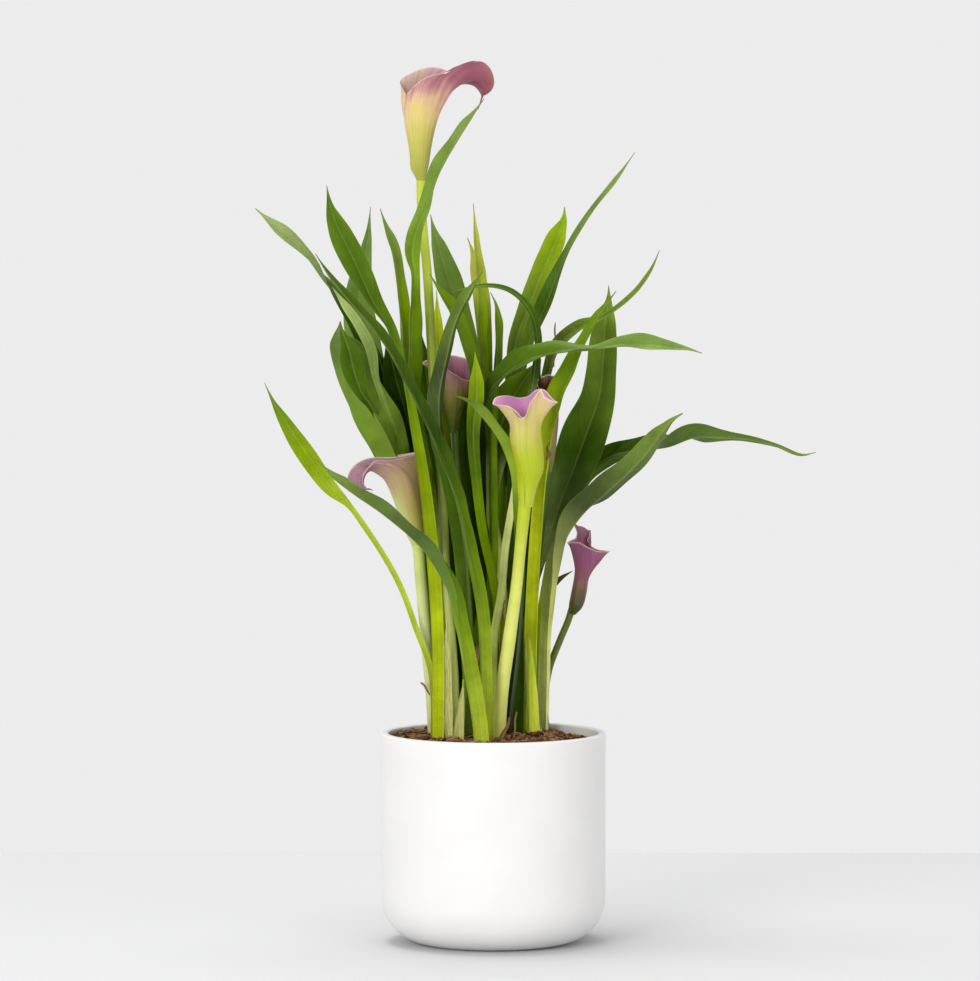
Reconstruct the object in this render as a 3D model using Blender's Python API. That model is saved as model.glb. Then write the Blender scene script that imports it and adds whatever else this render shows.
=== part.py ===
"""Potted calla lily: a white ceramic pot of dark soil with a clump of leaves and six flowers.

The frame stands at the centre of the pot's base, +Z up, with the clump seen from -Y.
Lengths in the named values are millimetres and are turned to metres when a mesh is made.
"""

import math
from typing import NamedTuple

import bmesh
import bpy
import numpy as np

METRE = 0.001

# Pot
POT_RADIUS = 72.5
POT_HEIGHT = 136.0
POT_WALL = 4.5
POT_FLOOR = 6.0
POT_FOOT_BEND = 29.0
POT_SIDES = 40

# Soil and the tubers in it
CLEARANCE = 0.35
SOIL_LEVEL = 133.0
SOIL_RELIEF = 1.6
SOIL_DIP = 4.0
SOIL_SIDES = 26
SOIL_RINGS = 5
STALK_FOOT = 111.0
HOLE_PAST_SOIL = 14.0
TUBER_RADIUS = 17.0
TUBER_HEIGHT = 20.0
TUBER_SPOTS = [(-32, 0), (5, -16), (22, 28)]

# Leaves
MARGIN_THICKNESS = 0.75
MIDRIB_THICKNESS = 1.5
TIP_THICKNESS = 0.85
TIP_WIDTH = 0.8
LONG_STEP = 23.0

# Flowers
SCAPE_SIDES = 8
SHEET_THICKNESS = 0.7
SHEET_LAP = 0.45
SHEET_OPENING = 0.10
SHEET_LAP_GAP = 1.1
SHEET_COLUMNS = 16
SHEET_ROWS = 8
COLLAR_HEIGHT = 4.0
SPADIX_SIDES = 8
SPADIX_WIDEST = 3.0

# Sheaths
SHEATH_DEPTH = 6.0
SHEATH_SLOT_TOP = 8.0
SHEATH_SLOT_SIDES = 12

# Edges sharper than this are shaded flat, in degrees
SHARP_ANGLE = 50.0


class Leaf(NamedTuple):
    """A leaf's fold and its route from the soil to the tip.

    blade: the route point at which the stalk turns into the blade.
    fold: how far each half of the blade rises from the flat, in degrees.
    route: x, y, z, width and roll of each point; a roll of 0 shows the upper face to -Y.
    """

    blade: int
    fold: float
    route: list


class Flower(NamedTuple):
    """A flower's stalk and the sheet that is wrapped round its top.

    stalk: x, y, z and diameter of each route point, from the soil up.
    axis: the direction in which the tube of the sheet opens.
    tip: the direction to which its lip bends over.
    seam, lip: lengths of the sheet at the seam and at the lip opposite.
    point: length of the lip's pointed end.
    notch: depth of the V cut between the lobes at the seam.
    skew: how much longer one side of the sheet is than the tip's line, and the other shorter.
    tube: distance along the sheet and radius of the tube there, as points.
    bends: distance along the lip's middle line and its angle to the axis there, as points.
    flare: how far the edge turns out at the seam and the sides.
    spadix: height of the club inside.
    """

    stalk: list
    axis: tuple
    tip: tuple
    seam: float
    lip: float
    point: float
    notch: float
    skew: float
    tube: list
    bends: list
    flare: float
    spadix: float


LEAVES = {
    "leaf_far_left": Leaf(5, 25, [
        (-39, 1, 132, 4, 20), (-42, -5, 182, 4, 15), (-49, -6, 201, 4, 10), (-60, -8, 231, 4, 5),
        (-83, -12, 270, 4, 0), (-93, -15, 284, 4.5, -5), (-103, -18, 294, 10, -10),
        (-116, -23, 312, 13.5, -10), (-131, -29, 335, 10, -10), (-141, -33, 352, 3.5, -10),
        (-146, -35, 363, 1, -10)]),
    "leaf_front_sweep": Leaf(4, 32, [
        (-8, -38, 134, 10.5, 20), (-11, -39, 160, 10.5, 20), (-15, -42, 183, 10.5, 30),
        (-20, -46, 209, 10.5, 50), (-26, -50, 232, 15.5, 75), (-44, -58, 258, 25.5, 95),
        (-69, -68, 281, 22.5, 100), (-91, -76, 297, 19, 100), (-103, -80, 307, 11.5, 100),
        (-111, -83, 316, 1, 100)]),
    "leaf_curled": Leaf(3, 32, [
        (-33, 20, 131, 6, 10), (-39, 20, 194, 6, 10), (-48, 19, 246, 6, 5), (-57, 19, 292, 10, 5),
        (-65, 13, 318, 27.5, 5), (-73, 7, 335, 34, -5), (-81, 2, 349, 34, -20),
        (-90, -4, 365, 34, -30), (-95, -10, 379, 29.5, -30), (-100, -17, 391, 16, -20),
        (-100, -24, 402, 2.5, -10)]),
    "leaf_twisted_left": Leaf(5, 25, [
        (-29, 31, 130, 6, 20), (-35, 31, 219, 6.5, 30), (-43, 30, 271, 7, 40), (-53, 29, 311, 7, 40),
        (-70, 22, 345, 6, 40), (-81, 17, 373, 7.5, 40), (-88, 11, 396, 15.5, 35),
        (-98, 8, 415, 17.5, 30), (-110, 4, 429, 26, 60), (-122, 0, 442, 26, 110),
        (-135, -3, 453, 15, 150), (-146, -5, 463, 7, 160), (-153, -6, 472, 1, 160)]),
    "leaf_front_diagonal": Leaf(3, 30, [
        (-4, -26, 133, 8, 20), (-5, -29, 181, 8.5, 30), (-7, -32, 218, 9.5, 45),
        (-14, -38, 260, 15.5, 60), (-21, -43, 290, 23.5, 60), (-34, -50, 323, 23.5, 60),
        (-52, -57, 359, 19, 60), (-69, -64, 389, 15.5, 65), (-90, -74, 415, 15, 70),
        (-103, -80, 431, 10, 70), (-112, -85, 445, 1, 70)]),
    "leaf_left_main": Leaf(5, 22, [
        (-36, -10, 133, 8.5, 10), (-36, -11, 197, 8.5, 10), (-39, -14, 248, 9, 10),
        (-43, -17, 287, 8.5, 10), (-50, -18, 332, 7, 10), (-59, -17, 376, 5.5, 10),
        (-70, -16, 404, 9, 5), (-79, -15, 417, 12, 5), (-84, -14, 431, 17.5, 5),
        (-91, -13, 444, 17.5, 5), (-97, -12, 455, 14, 5), (-103, -11, 472, 5.5, 5),
        (-107, -10, 487, 1, 5)]),
    "leaf_left_grey": Leaf(3, 20, [
        (-27, 42, 130, 6, 10), (-31, 43, 218, 6, 10), (-45, 42, 297, 6, 5), (-64, 42, 346, 8, 0),
        (-79, 42, 370, 19.5, 0), (-86, 42, 395, 23.5, 0), (-88, 42, 414, 19.5, 0),
        (-85, 42, 437, 12.5, 0), (-82, 42, 453, 6, 0), (-80, 42, 475, 1, 0)]),
    "leaf_left_upright": Leaf(4, 28, [
        (-22, 14, 134, 6, 40), (-28, 14, 220, 6.5, 50), (-39, 14, 285, 7.5, 60),
        (-48, 13, 337, 7.5, 65), (-57, 12, 379, 10, 70), (-60, 11, 408, 19, 70),
        (-62, 10, 427, 22.5, 70), (-65, 8, 446, 19, 70), (-70, 6, 462, 12, 70), (-73, 5, 472, 1, 70)]),
    "leaf_tall_front": Leaf(4, 28, [
        (-33, 0, 132, 5.5, 20), (-33, 1, 196, 5.5, 30), (-36, 3, 247, 6, 40), (-41, 3, 299, 6.5, 50),
        (-50, -3, 344, 9.5, 55), (-53, -7, 383, 16.5, 55), (-52, -9, 415, 12.5, 50),
        (-52, -10, 437, 6.5, 30), (-50, -12, 455, 11, 0), (-43, -14, 474, 12.5, -40),
        (-35, -17, 497, 16, -60), (-25, -20, 515, 13, -60), (-14, -23, 532, 8.5, -60),
        (-6, -25, 544, 1, -60)]),
    "leaf_behind_scape": Leaf(3, 25, [
        (-11, 34, 132, 5.5, 10), (-9, 38, 206, 5.5, 10), (-6, 44, 284, 5.5, 10), (-9, 51, 355, 7, 10),
        (-16, 52, 388, 11.5, 10), (-23, 51, 409, 15.5, 10), (-30, 49, 429, 18.5, 10),
        (-35, 44, 446, 12.5, 10), (-39, 43, 460, 6, 10), (-41, 43, 470, 1, 10)]),
    "leaf_bright_narrow": Leaf(4, 28, [
        (-14, 15, 133, 6, 40), (-13, 12, 221, 6.5, 50), (-14, 11, 286, 7, 55), (-14, 8, 325, 8, 60),
        (-13, 4, 351, 11, 60), (-16, -1, 377, 15.5, 55), (-22, -2, 397, 13.5, 50),
        (-29, 0, 412, 11.5, 45), (-36, -2, 423, 6, 45), (-41, -3, 432, 1, 45)]),
    "leaf_dark_front": Leaf(4, 28, [
        (-16, -12, 135, 9.5, -100), (-19, -14, 197, 9.5, -100), (-23, -16, 255, 9, -110),
        (-30, -17, 300, 9, -120), (-36, -16, 332, 11.5, -140), (-35, -16, 355, 15, -140),
        (-30, -18, 380, 12.5, -140), (-24, -22, 403, 10.5, -140), (-15, -27, 421, 8.5, -140),
        (-7, -32, 434, 1, -140)]),
    "leaf_yellow_narrow": Leaf(3, 26, [
        (-4, 24, 133, 6, 40), (-1, 26, 220, 6.5, 50), (-4, 28, 304, 6.5, 50), (-7, 23, 369, 8.5, 50),
        (-9, 18, 402, 11, 50), (-9, 16, 423, 11, 50), (-11, 15, 442, 9, 50), (-12, 14, 457, 5.5, 50),
        (-13, 13, 477, 1, 50)]),
    "leaf_green_behind": Leaf(3, 25, [
        (2, 34, 133, 5.5, 10), (4, 36, 219, 5.5, 10), (2, 37, 297, 6, 5), (-4, 37, 359, 8, 0),
        (-6, 37, 395, 11, 0), (-8, 37, 418, 12, 0), (-11, 37, 435, 9.5, 0), (-14, 37, 447, 4.5, 0),
        (-17, 37, 455, 1, 0)]),
    "leaf_arch": Leaf(6, 28, [
        (2, 3, 133, 5.5, 20), (0, 0, 179, 5.5, 20), (1, -1, 202, 5.5, 20), (5, -3, 225, 5.5, 25),
        (8, -4, 257, 5.5, 25), (13, -5, 288, 5, 25), (18, 0, 315, 6, 30), (23, 5, 344, 7, 35),
        (29, 5, 376, 8.5, 40), (29, 3, 397, 9.5, 40), (23, 0, 411, 7.5, 40), (12, -2, 420, 5.5, 40),
        (-1, -4, 424, 4, 40), (-15, -6, 423, 3, 40), (-28, -8, 420, 1, 40)]),
    "leaf_middle_narrow": Leaf(4, 28, [
        (-5, 6, 133, 6, 40), (-2, 10, 208, 6.5, 45), (0, 11, 247, 6.5, 50), (0, 12, 286, 6.5, 50),
        (0, 7, 350, 6.5, 50), (2, 5, 386, 9, 50), (2, 4, 403, 8, 50), (1, 4, 413, 4.5, 50),
        (-2, 4, 420, 1, 50)]),
    "leaf_blunt_right": Leaf(4, 28, [
        (7, 26, 133, 5, -5), (8, 28, 193, 5, -5), (8, 29, 258, 5, -5), (8, 30, 324, 6, -10),
        (11, 31, 364, 7, -10), (15, 31, 389, 11, -10), (22, 31, 408, 14, -10), (29, 31, 426, 15, -10),
        (35, 31, 442, 13.5, -10), (41, 30, 456, 9, -10), (44, 30, 473, 1, -10)]),
    "leaf_tall_right": Leaf(4, 28, [
        (17, 17, 134, 5.5, -30), (17, 20, 194, 6, -40), (15, 28, 259, 6, -40), (16, 30, 324, 6, -40),
        (18, 26, 363, 8.5, -40), (24, 21, 393, 11.5, -40), (35, 17, 417, 14.5, -40),
        (44, 15, 436, 12.5, -45), (54, 13, 456, 10, -50), (67, 10, 476, 9, -50),
        (80, 8, 492, 5.5, -50), (91, 6, 508, 1, -50)]),
    "leaf_bent_right": Leaf(4, 28, [
        (13, 32, 133, 5.5, -20), (17, 31, 180, 5.5, -30), (21, 33, 232, 6, -40), (26, 41, 284, 6, -40),
        (31, 55, 332, 7.5, -40), (35, 53, 362, 8.5, -40), (41, 41, 383, 10, -35),
        (56, 22, 397, 11.5, -35), (68, 12, 403, 9, -50), (80, 10, 410, 10, -60), (92, 9, 421, 10, -60),
        (101, 8, 433, 7.5, -60), (107, 7, 445, 1, -60)]),
    "leaf_right_level": Leaf(5, 28, [
        (-8, 16, 133, 5.5, -20), (-7, 17, 194, 5.5, -20), (-7, 16, 246, 5.5, -20),
        (-7, 10, 286, 5.5, -30), (-7, 1, 325, 6, -40), (-7, -6, 350, 8.5, -50), (4, -16, 367, 16, -60),
        (18, -22, 378, 24.5, -60), (35, -26, 384, 26, -60), (53, -28, 384, 25.5, -65),
        (69, -30, 384, 18.5, -75), (84, -32, 386, 12.5, -55), (100, -34, 387, 16.5, -45),
        (115, -36, 385, 9, -50), (125, -37, 384, 6, -60), (133, -38, 382, 1, -60)]),
    "leaf_broad_right": Leaf(3, 26, [
        (17, 44, 132, 6, -5), (18, 45, 179, 6, -5), (24, 49, 224, 6, -5), (35, 51, 257, 10.5, -8),
        (44, 49, 283, 23.5, -10), (52, 46, 306, 30, -10), (60, 43, 331, 32.5, -10),
        (67, 40, 352, 26.5, -10), (71, 40, 370, 22, -10), (73, 39, 387, 17.5, -8),
        (75, 39, 404, 11, -5), (76, 39, 414, 4.5, -5), (75, 39, 422, 1, -5)]),
    "leaf_right_main": Leaf(5, 28, [
        (24, 26, 132, 9, -20), (24, 26, 167, 9, -20), (25, 24, 213, 9, -20), (28, 20, 266, 8.5, -25),
        (33, 16, 305, 8.5, -30), (37, 12, 331, 12, -35), (41, 9, 352, 17, -40),
        (48, 6, 370, 15.5, -40), (58, 4, 387, 13.5, -45), (65, 2, 401, 10, -50),
        (72, 1, 411, 5.5, -50), (78, 0, 419, 1, -50)]),
    "leaf_far_right": Leaf(3, 25, [
        (27, 46, 133, 5.5, -10), (29, 50, 191, 5.5, -15), (36, 59, 237, 5.5, -20),
        (41, 63, 260, 6.5, -20), (50, 64, 279, 11, -25), (63, 61, 301, 16, -30),
        (78, 57, 312, 16.5, -30), (97, 51, 316, 18, -40), (114, 43, 319, 26, -80),
        (131, 38, 325, 21.5, -135), (147, 34, 325, 12, -140), (164, 30, 324, 6.5, -140),
        (183, 26, 320, 3.5, -140), (202, 22, 314, 3, -140), (209, 21, 316, 1, -140)]),
    "leaf_right_curved": Leaf(3, 28, [
        (32, 37, 133, 9, -40), (33, 37, 166, 9, -45), (35, 36, 209, 9.5, -55),
        (39, 34, 237, 16.5, -70), (48, 30, 262, 26, -100), (58, 26, 276, 26, -120),
        (72, 22, 289, 25, -135), (85, 17, 301, 20.5, -145), (99, 12, 316, 17, -150),
        (109, 7, 330, 11, -150), (116, 4, 338, 6, -150), (122, 2, 342, 2.5, -150)]),
    "leaf_front_curve": Leaf(3, 28, [
        (10, 0, 133, 7.5, 60), (15, -6, 190, 8, 70), (18, -13, 248, 9.5, 80), (16, -16, 281, 14, 100),
        (11, -18, 308, 16, 115), (4, -22, 326, 14.5, 120), (-5, -26, 339, 13, 120),
        (-14, -30, 349, 10, 120), (-20, -34, 353, 6, 120), (-25, -37, 355, 1, 120)]),
    "leaf_mid_upright": Leaf(4, 28, [
        (8, 13, 133, 6, 0), (6, 10, 195, 6, 0), (0, 4, 234, 6, 0), (-7, -3, 267, 6.5, 0),
        (-11, -8, 300, 7.5, 0), (-13, -12, 332, 9.5, 0), (-11, -15, 355, 11.5, 0),
        (-11, -17, 371, 8.5, 0), (-12, -18, 383, 1, 0)]),
    "leaf_broad_middle": Leaf(3, 24, [
        (10, 21, 133, 6, -5), (9, 20, 194, 6, -5), (4, 20, 246, 6.5, -5), (-2, 20, 285, 11, -5),
        (-2, 20, 308, 21.5, -10), (3, 19, 327, 26, -10), (9, 17, 345, 26, -10), (17, 14, 359, 20, -10),
        (24, 13, 369, 10, -10), (29, 12, 376, 1, -10)]),
    "leaf_shaded_left": Leaf(3, 24, [
        (-22, 30, 131, 5, 5), (-27, 34, 193, 5, 5), (-36, 36, 251, 6, 5), (-49, 36, 304, 9.5, 5),
        (-58, 34, 330, 17, 5), (-65, 33, 349, 15.5, 5), (-71, 32, 364, 13, 5), (-74, 32, 376, 7, 5),
        (-77, 32, 387, 1, 5)]),
    "leaf_yellow_strip": Leaf(2, 28, [
        (-18, 22, 132, 5.5, 40), (-23, 28, 219, 5.5, 40), (-29, 34, 297, 6.5, 45),
        (-34, 35, 356, 8.5, 45), (-36, 34, 385, 8.5, 45), (-37, 33, 405, 5, 45), (-37, 32, 421, 1, 45)]),
    "leaf_small_withered": Leaf(2, 20, [
        (26, 58, 131, 3.5, -30), (31, 60, 177, 3.5, -30), (36, 61, 207, 4, -30), (41, 61, 224, 5, -30),
        (45, 61, 231, 5.5, -30), (48, 61, 235, 3, -30), (52, 61, 235, 1, -30)]),
    "leaf_back_left": Leaf(2, 22, [
        (-21, 46, 131, 6, 10), (-31, 52, 191, 6, 10), (-46, 64, 243, 7, 10), (-60, 80, 288, 14.5, 10),
        (-72, 96, 317, 23, 10), (-83, 112, 338, 24.5, 10), (-90, 128, 352, 16, 10),
        (-95, 142, 361, 1.5, 10)]),
    "leaf_back_mid_left": Leaf(2, 22, [
        (-15, 50, 131, 6, 5), (-18, 54, 191, 6, 5), (-22, 64, 243, 7, 5), (-25, 80, 288, 18.5, 5),
        (-28, 98, 320, 24.5, 5), (-30, 118, 343, 18.5, 5), (-30, 136, 356, 10, 5),
        (-31, 150, 364, 1.5, 5)]),
    "leaf_back_mid": Leaf(2, 22, [
        (-6, 46, 132, 6, 0), (-3, 52, 191, 6, 0), (1, 64, 243, 7, 0), (6, 82, 288, 20, 0),
        (10, 102, 317, 25.5, 0), (14, 122, 336, 20, 0), (17, 138, 347, 10, 0), (19, 152, 355, 1.5, 0)]),
    "leaf_back_right": Leaf(2, 22, [
        (9, 44, 132, 6, -5), (18, 56, 191, 6, -5), (31, 70, 243, 8, -8), (44, 86, 288, 19, -10),
        (55, 102, 317, 23, -10), (63, 118, 336, 19, -10), (69, 132, 348, 10, -10),
        (72, 144, 356, 1.5, -10)]),
}

STALKS = {
    "tall": [
        (-24.7, -22, 134.3, 6), (-25.4, -20, 171.5, 6), (-28, -15, 209.8, 6), (-31.2, -8, 248, 6),
        (-33.2, 0, 292.7, 6), (-37.8, 6, 344.1, 6), (-40.3, 8, 389.2, 6), (-42.9, 9, 434.3, 6),
        (-46.1, 9, 469.8, 6), (-46.7, 8, 489.7, 6)],
    "left": [
        (-38.6, 11, 131, 8), (-40.5, 9, 162.4, 7.5), (-43, 6, 188.6, 7.5), (-45.8, 1, 221.5, 7.5),
        (-47.7, -2, 244.3, 7.5), (-48.3, -3.5, 254.1, 7.5), (-49.9, -4.5, 261.9, 7.5)],
    "yellow": [
        (3.6, -10, 133.7, 8.5), (5.5, -12, 164.3, 8.5), (10, -16, 197, 8.5), (14.4, -22, 229.6, 7.5),
        (17.6, -28, 262.2, 7.5), (20.1, -33, 288.1, 8.5), (20.7, -34, 295.8, 8.5)],
    "small": [
        (34.5, 50, 131.6, 4.5), (33.8, 50, 152, 4.5), (36.4, 50, 171.8, 4.5), (43.6, 49, 191.6, 4.5),
        (49.5, 48, 206.1, 4.5), (51.4, 47.5, 212.7, 4.5)],
    "back_mid": [
        (-12.6, 4, 133.6, 5), (-16.5, 8, 220.9, 5), (-20.4, 12, 272.6, 5), (-23.6, 14, 311.3, 5),
        (-24.3, 15, 326.8, 5)],
    "back_right": [
        (21.3, 35, 133.1, 5), (24.5, 36, 192.6, 5), (29, 36, 245, 5), (33.5, 31, 284.4, 5),
        (35.4, 28, 306.7, 5)],
}

FLOWERS = {
    "tall": Flower(
        stalk=STALKS["tall"], axis=(0.02, -0.10, 1.0), tip=(1.0, 0.15, 0.0),
        seam=56, lip=103, point=8, notch=0, skew=5, flare=7, spadix=34,
        tube=[(0, 3.3), (5, 3.9), (11, 5.6), (24, 7.2), (43, 10), (56, 12.4), (70, 15), (104, 14)],
        bends=[(0, 0), (5, 8), (11, 9), (22, 6), (36, 9), (48, 18), (58, 26), (66, 38), (74, 52),
               (81, 72), (88, 102), (95, 140), (102, 172), (112, 195)]),
    "left": Flower(
        stalk=STALKS["left"], axis=(-0.36, -0.12, 0.93), tip=(-1.0, -0.40, 0.0),
        seam=48, lip=76, point=9, notch=0, skew=-2, flare=5, spadix=27,
        tube=[(0, 4.3), (5, 4.9), (11, 6.4), (24, 8.2), (38, 10.4), (50, 12), (75, 11)],
        bends=[(0, 0), (5, 9), (11, 12), (20, 5), (34, 4), (44, 14), (50, 32), (55, 60), (61, 98),
               (67, 142), (73, 190), (80, 235), (86, 260)]),
    "yellow": Flower(
        stalk=STALKS["yellow"], axis=(0.0, -0.10, 1.0), tip=(0.15, 1.0, 0.0),
        seam=60, lip=66, point=4, notch=13, skew=-2, flare=6, spadix=30,
        tube=[(0, 4.6), (5, 5.2), (12, 7), (24, 9), (38, 10.4), (50, 12.4), (66, 16)],
        bends=[(0, 0), (5, 8), (12, 12), (24, 7), (40, 9), (50, 20), (58, 42), (66, 66), (74, 80)]),
    "small": Flower(
        stalk=STALKS["small"], axis=(0.24, -0.05, 0.97), tip=(-0.35, 0.90, 0.0),
        seam=41, lip=52, point=8, notch=0, skew=0, flare=8, spadix=18,
        tube=[(0, 2.5), (5, 3.2), (10, 4.4), (20, 5.6), (32, 7.4), (44, 9.2), (60, 7)],
        bends=[(0, 0), (5, 8), (10, 10), (20, 6), (34, 4), (46, 2), (56, 0), (64, 0)]),
    "back_mid": Flower(
        stalk=STALKS["back_mid"], axis=(0.03, 0.06, 1.0), tip=(-0.1, 1.0, 0.0),
        seam=46, lip=58, point=4, notch=0, skew=0, flare=2, spadix=26,
        tube=[(0, 2.9), (5, 3.6), (12, 5.2), (24, 6.6), (38, 8), (50, 9), (62, 9)],
        bends=[(0, 0), (5, 7), (12, 10), (24, 6), (38, 10), (48, 24), (56, 44), (64, 60)]),
    "back_right": Flower(
        stalk=STALKS["back_right"], axis=(0.02, 0.05, 1.0), tip=(-0.3, 0.95, 0.0),
        seam=46, lip=56, point=4, notch=0, skew=0, flare=2, spadix=26,
        tube=[(0, 2.9), (5, 3.5), (12, 4.6), (24, 5.8), (38, 7), (50, 8), (62, 8)],
        bends=[(0, 0), (5, 7), (12, 9), (24, 5), (38, 9), (48, 20), (58, 34)]),
}

# Papery sheaths: spot of the middle, radius, turns from and to, and heights at points between
SHEATHS = {
    "sheath_left": ((-24.6, -21.5), 4.6, -200.0, 60.0, [78, 30, 12, 9, 16, 38, 20, 8]),
    "sheath_right": ((25.2, 26.5), 6.2, -175.0, -10.0, [12, 40, 62, 50, 24, 10]),
}


def srgb(code):
    """Linear colour of a six-digit sRGB code."""
    parts = [int(code[i:i + 2], 16) / 255 for i in (0, 2, 4)]
    return [p / 12.92 if p <= 0.04045 else ((p + 0.055) / 1.055) ** 2.4 for p in parts]


def make_material(name, code, roughness):
    """A plain surface of one colour."""
    material = bpy.data.materials.new(name)
    material.use_nodes = True
    shader = material.node_tree.nodes["Principled BSDF"]
    shader.inputs["Base Color"].default_value = (*srgb(code), 1.0)
    shader.inputs["Roughness"].default_value = roughness
    shader.inputs["Metallic"].default_value = 0.0
    return material


def make_object(name, points, faces, material):
    """An object of the points, in millimetres, with its faces turned outward."""
    shape = bmesh.new()
    corners = [shape.verts.new(np.asarray(p, float) * METRE) for p in points]
    for face in faces:
        shape.faces.new([corners[i] for i in face])
    bmesh.ops.recalc_face_normals(shape, faces=shape.faces)
    mesh = bpy.data.meshes.new(name)
    shape.to_mesh(mesh)
    shape.free()
    mesh.materials.append(material)
    mesh.shade_smooth()
    mesh.set_sharp_from_angle(angle=math.radians(SHARP_ANGLE))
    item = bpy.data.objects.new(name, mesh)
    bpy.context.scene.collection.objects.link(item)
    return item


def unit(vectors):
    """Vectors brought to length 1."""
    vectors = np.asarray(vectors, float)
    return vectors / np.linalg.norm(vectors, axis=-1, keepdims=True)


def smoothstep(value):
    """A soft ramp from 0 to 1."""
    value = np.clip(value, 0.0, 1.0)
    return value * value * (3.0 - 2.0 * value)


def route_curve(points, stations):
    """Values of a smooth curve through the points, at stations counted in points."""
    points = np.asarray(points, float)
    steps = np.linalg.norm(np.diff(points[:, :3], axis=0), axis=1)
    along = np.concatenate([[0.0], np.cumsum(steps)])
    slopes = np.gradient(points, along, axis=0)
    stations = np.asarray(stations, float)
    first = np.minimum(stations.astype(int), len(points) - 2)
    part = (stations - first)[:, None]
    step = steps[first][:, None]
    start, end = points[first], points[first + 1]
    rise = slopes[first] * step
    fall = slopes[first + 1] * step
    cubic = part * part * (3.0 - 2.0 * part)
    bow = rise * part * (1.0 - part) ** 2 - fall * part * part * (1.0 - part)
    return start + (end - start) * cubic + bow


def route_frames(places):
    """Directions along a route, across it and away from its upper face, with no roll."""
    along = unit(np.gradient(places, axis=0))
    towards = np.array([0.0, -1.0, 0.0])
    facing = unit(towards - along * (along @ towards)[:, None])
    across = np.cross(along, facing)
    return along, across, facing


def sweep_faces(stations, sides):
    """Triangles between rings of points, with caps that are cut alike from both ends."""
    faces = []
    for i in range(stations - 1):
        for j in range(sides):
            a = i * sides + j
            b = i * sides + (j + 1) % sides
            faces.append((a, b, b + sides) if j < sides // 2 else (a, b, a + sides))
            faces.append((a, b + sides, a + sides) if j < sides // 2 else (b, b + sides, a + sides))
    return faces


def cap_faces(first, sides):
    """Triangles that close a ring of points, fanned from its middle lower point."""
    pivot = sides * 2 // 3
    order = [(pivot + k) % sides for k in range(sides)]
    return [(first + order[0], first + order[k], first + order[k + 1]) for k in range(1, sides - 1)]


def leaf_stations(leaf):
    """Stations along a leaf's route, with a long step of the blade halved."""
    stations = [0.0]
    for i in range(len(leaf.route) - 1):
        step = math.dist(leaf.route[i][:3], leaf.route[i + 1][:3])
        if i >= leaf.blade - 1 and step > LONG_STEP:
            stations.append(i + 0.5)
        stations.append(i + 1.0)
    return stations


def leaf_ring(width, blade, fold, midrib):
    """Offsets across and away from the upper face of a leaf's six outline points."""
    half = width / 2.0
    stalk = np.array([
        (-0.92, 0.34), (0.0, 0.20), (0.92, 0.34), (0.62, -0.66), (0.0, -0.86), (-0.62, -0.66)]) * half
    rise = math.radians(fold)
    edge = MARGIN_THICKNESS / 2.0 / math.cos(rise)
    x, y = half * math.cos(rise), half * math.sin(rise)
    sheet = np.array([
        (-x, y + edge), (0.0, midrib / 2.0), (x, y + edge),
        (x, y - edge), (0.0, -midrib / 2.0), (-x, y - edge)])
    ring = stalk * (1.0 - blade) + sheet * blade
    return ring[:, 0], ring[:, 1]


def leaf_points(leaf, extra=0.0, stations=None):
    """Rings of points of a leaf, or of the hole round its stalk where extra is more than 0."""
    foot = leaf.route[0]
    route = [(foot[0], foot[1], STALK_FOOT, *foot[3:])] + list(leaf.route)
    blade_at = leaf.blade + 1
    grade = [0.0 if i < blade_at else 0.5 if i == blade_at else 1.0 for i in range(len(route))]
    table = [(*point, level) for point, level in zip(route, grade)]
    if stations is None:
        stations = [0.0] + [value + 1.0 for value in leaf_stations(leaf)]
    values = route_curve(table, stations)
    places = values[:, :3]
    along, across, facing = route_frames(places)
    rings = []
    for i, (width, roll, blade) in enumerate(values[:, 3:]):
        share = i / (len(values) - 1)
        midrib = MIDRIB_THICKNESS + (TIP_THICKNESS - MIDRIB_THICKNESS) * share
        side, up = leaf_ring(max(width, TIP_WIDTH), min(max(blade, 0.0), 1.0), leaf.fold, midrib)
        turn = math.radians(roll)
        if extra:
            size = np.hypot(side, up)
            side = side * (size + extra) / size
            up = up * (size + extra) / size
        sideways = across[i] * math.cos(turn) - facing[i] * math.sin(turn)
        upward = facing[i] * math.cos(turn) + across[i] * math.sin(turn)
        rings.append(places[i] + np.outer(side, sideways) + np.outer(up, upward))
    return np.array(rings)


def make_leaf(name, leaf, material):
    """One leaf with its stalk."""
    rings = leaf_points(leaf)
    count, sides = rings.shape[:2]
    faces = sweep_faces(count, sides)
    faces += cap_faces(0, sides) + cap_faces((count - 1) * sides, sides)
    return make_object(name, rings.reshape(-1, 3), faces, material)


def round_rings(route, stations, extra=0.0):
    """Rings of points of a round stalk, or of the hole round it."""
    values = route_curve(route, stations)
    places = values[:, :3]
    along, across, facing = route_frames(places)
    turn = np.arange(SCAPE_SIDES) / SCAPE_SIDES * math.tau
    rings = []
    for i, diameter in enumerate(values[:, 3]):
        radius = diameter / 2.0 + extra
        circle = np.outer(np.cos(turn), across[i]) + np.outer(np.sin(turn), facing[i])
        rings.append(places[i] + radius * circle)
    return np.array(rings)


def stalk_route(stalk):
    """A flower stalk's route with its foot in the soil."""
    foot = stalk[0]
    return [(foot[0], foot[1], STALK_FOOT, foot[3])] + list(stalk)


def make_round(name, rings, material):
    """A closed round body through rings of points."""
    count, sides = rings.shape[:2]
    faces = sweep_faces(count, sides)
    faces += cap_faces(0, sides) + cap_faces((count - 1) * sides, sides)
    return make_object(name, rings.reshape(-1, 3), faces, material)


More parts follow.
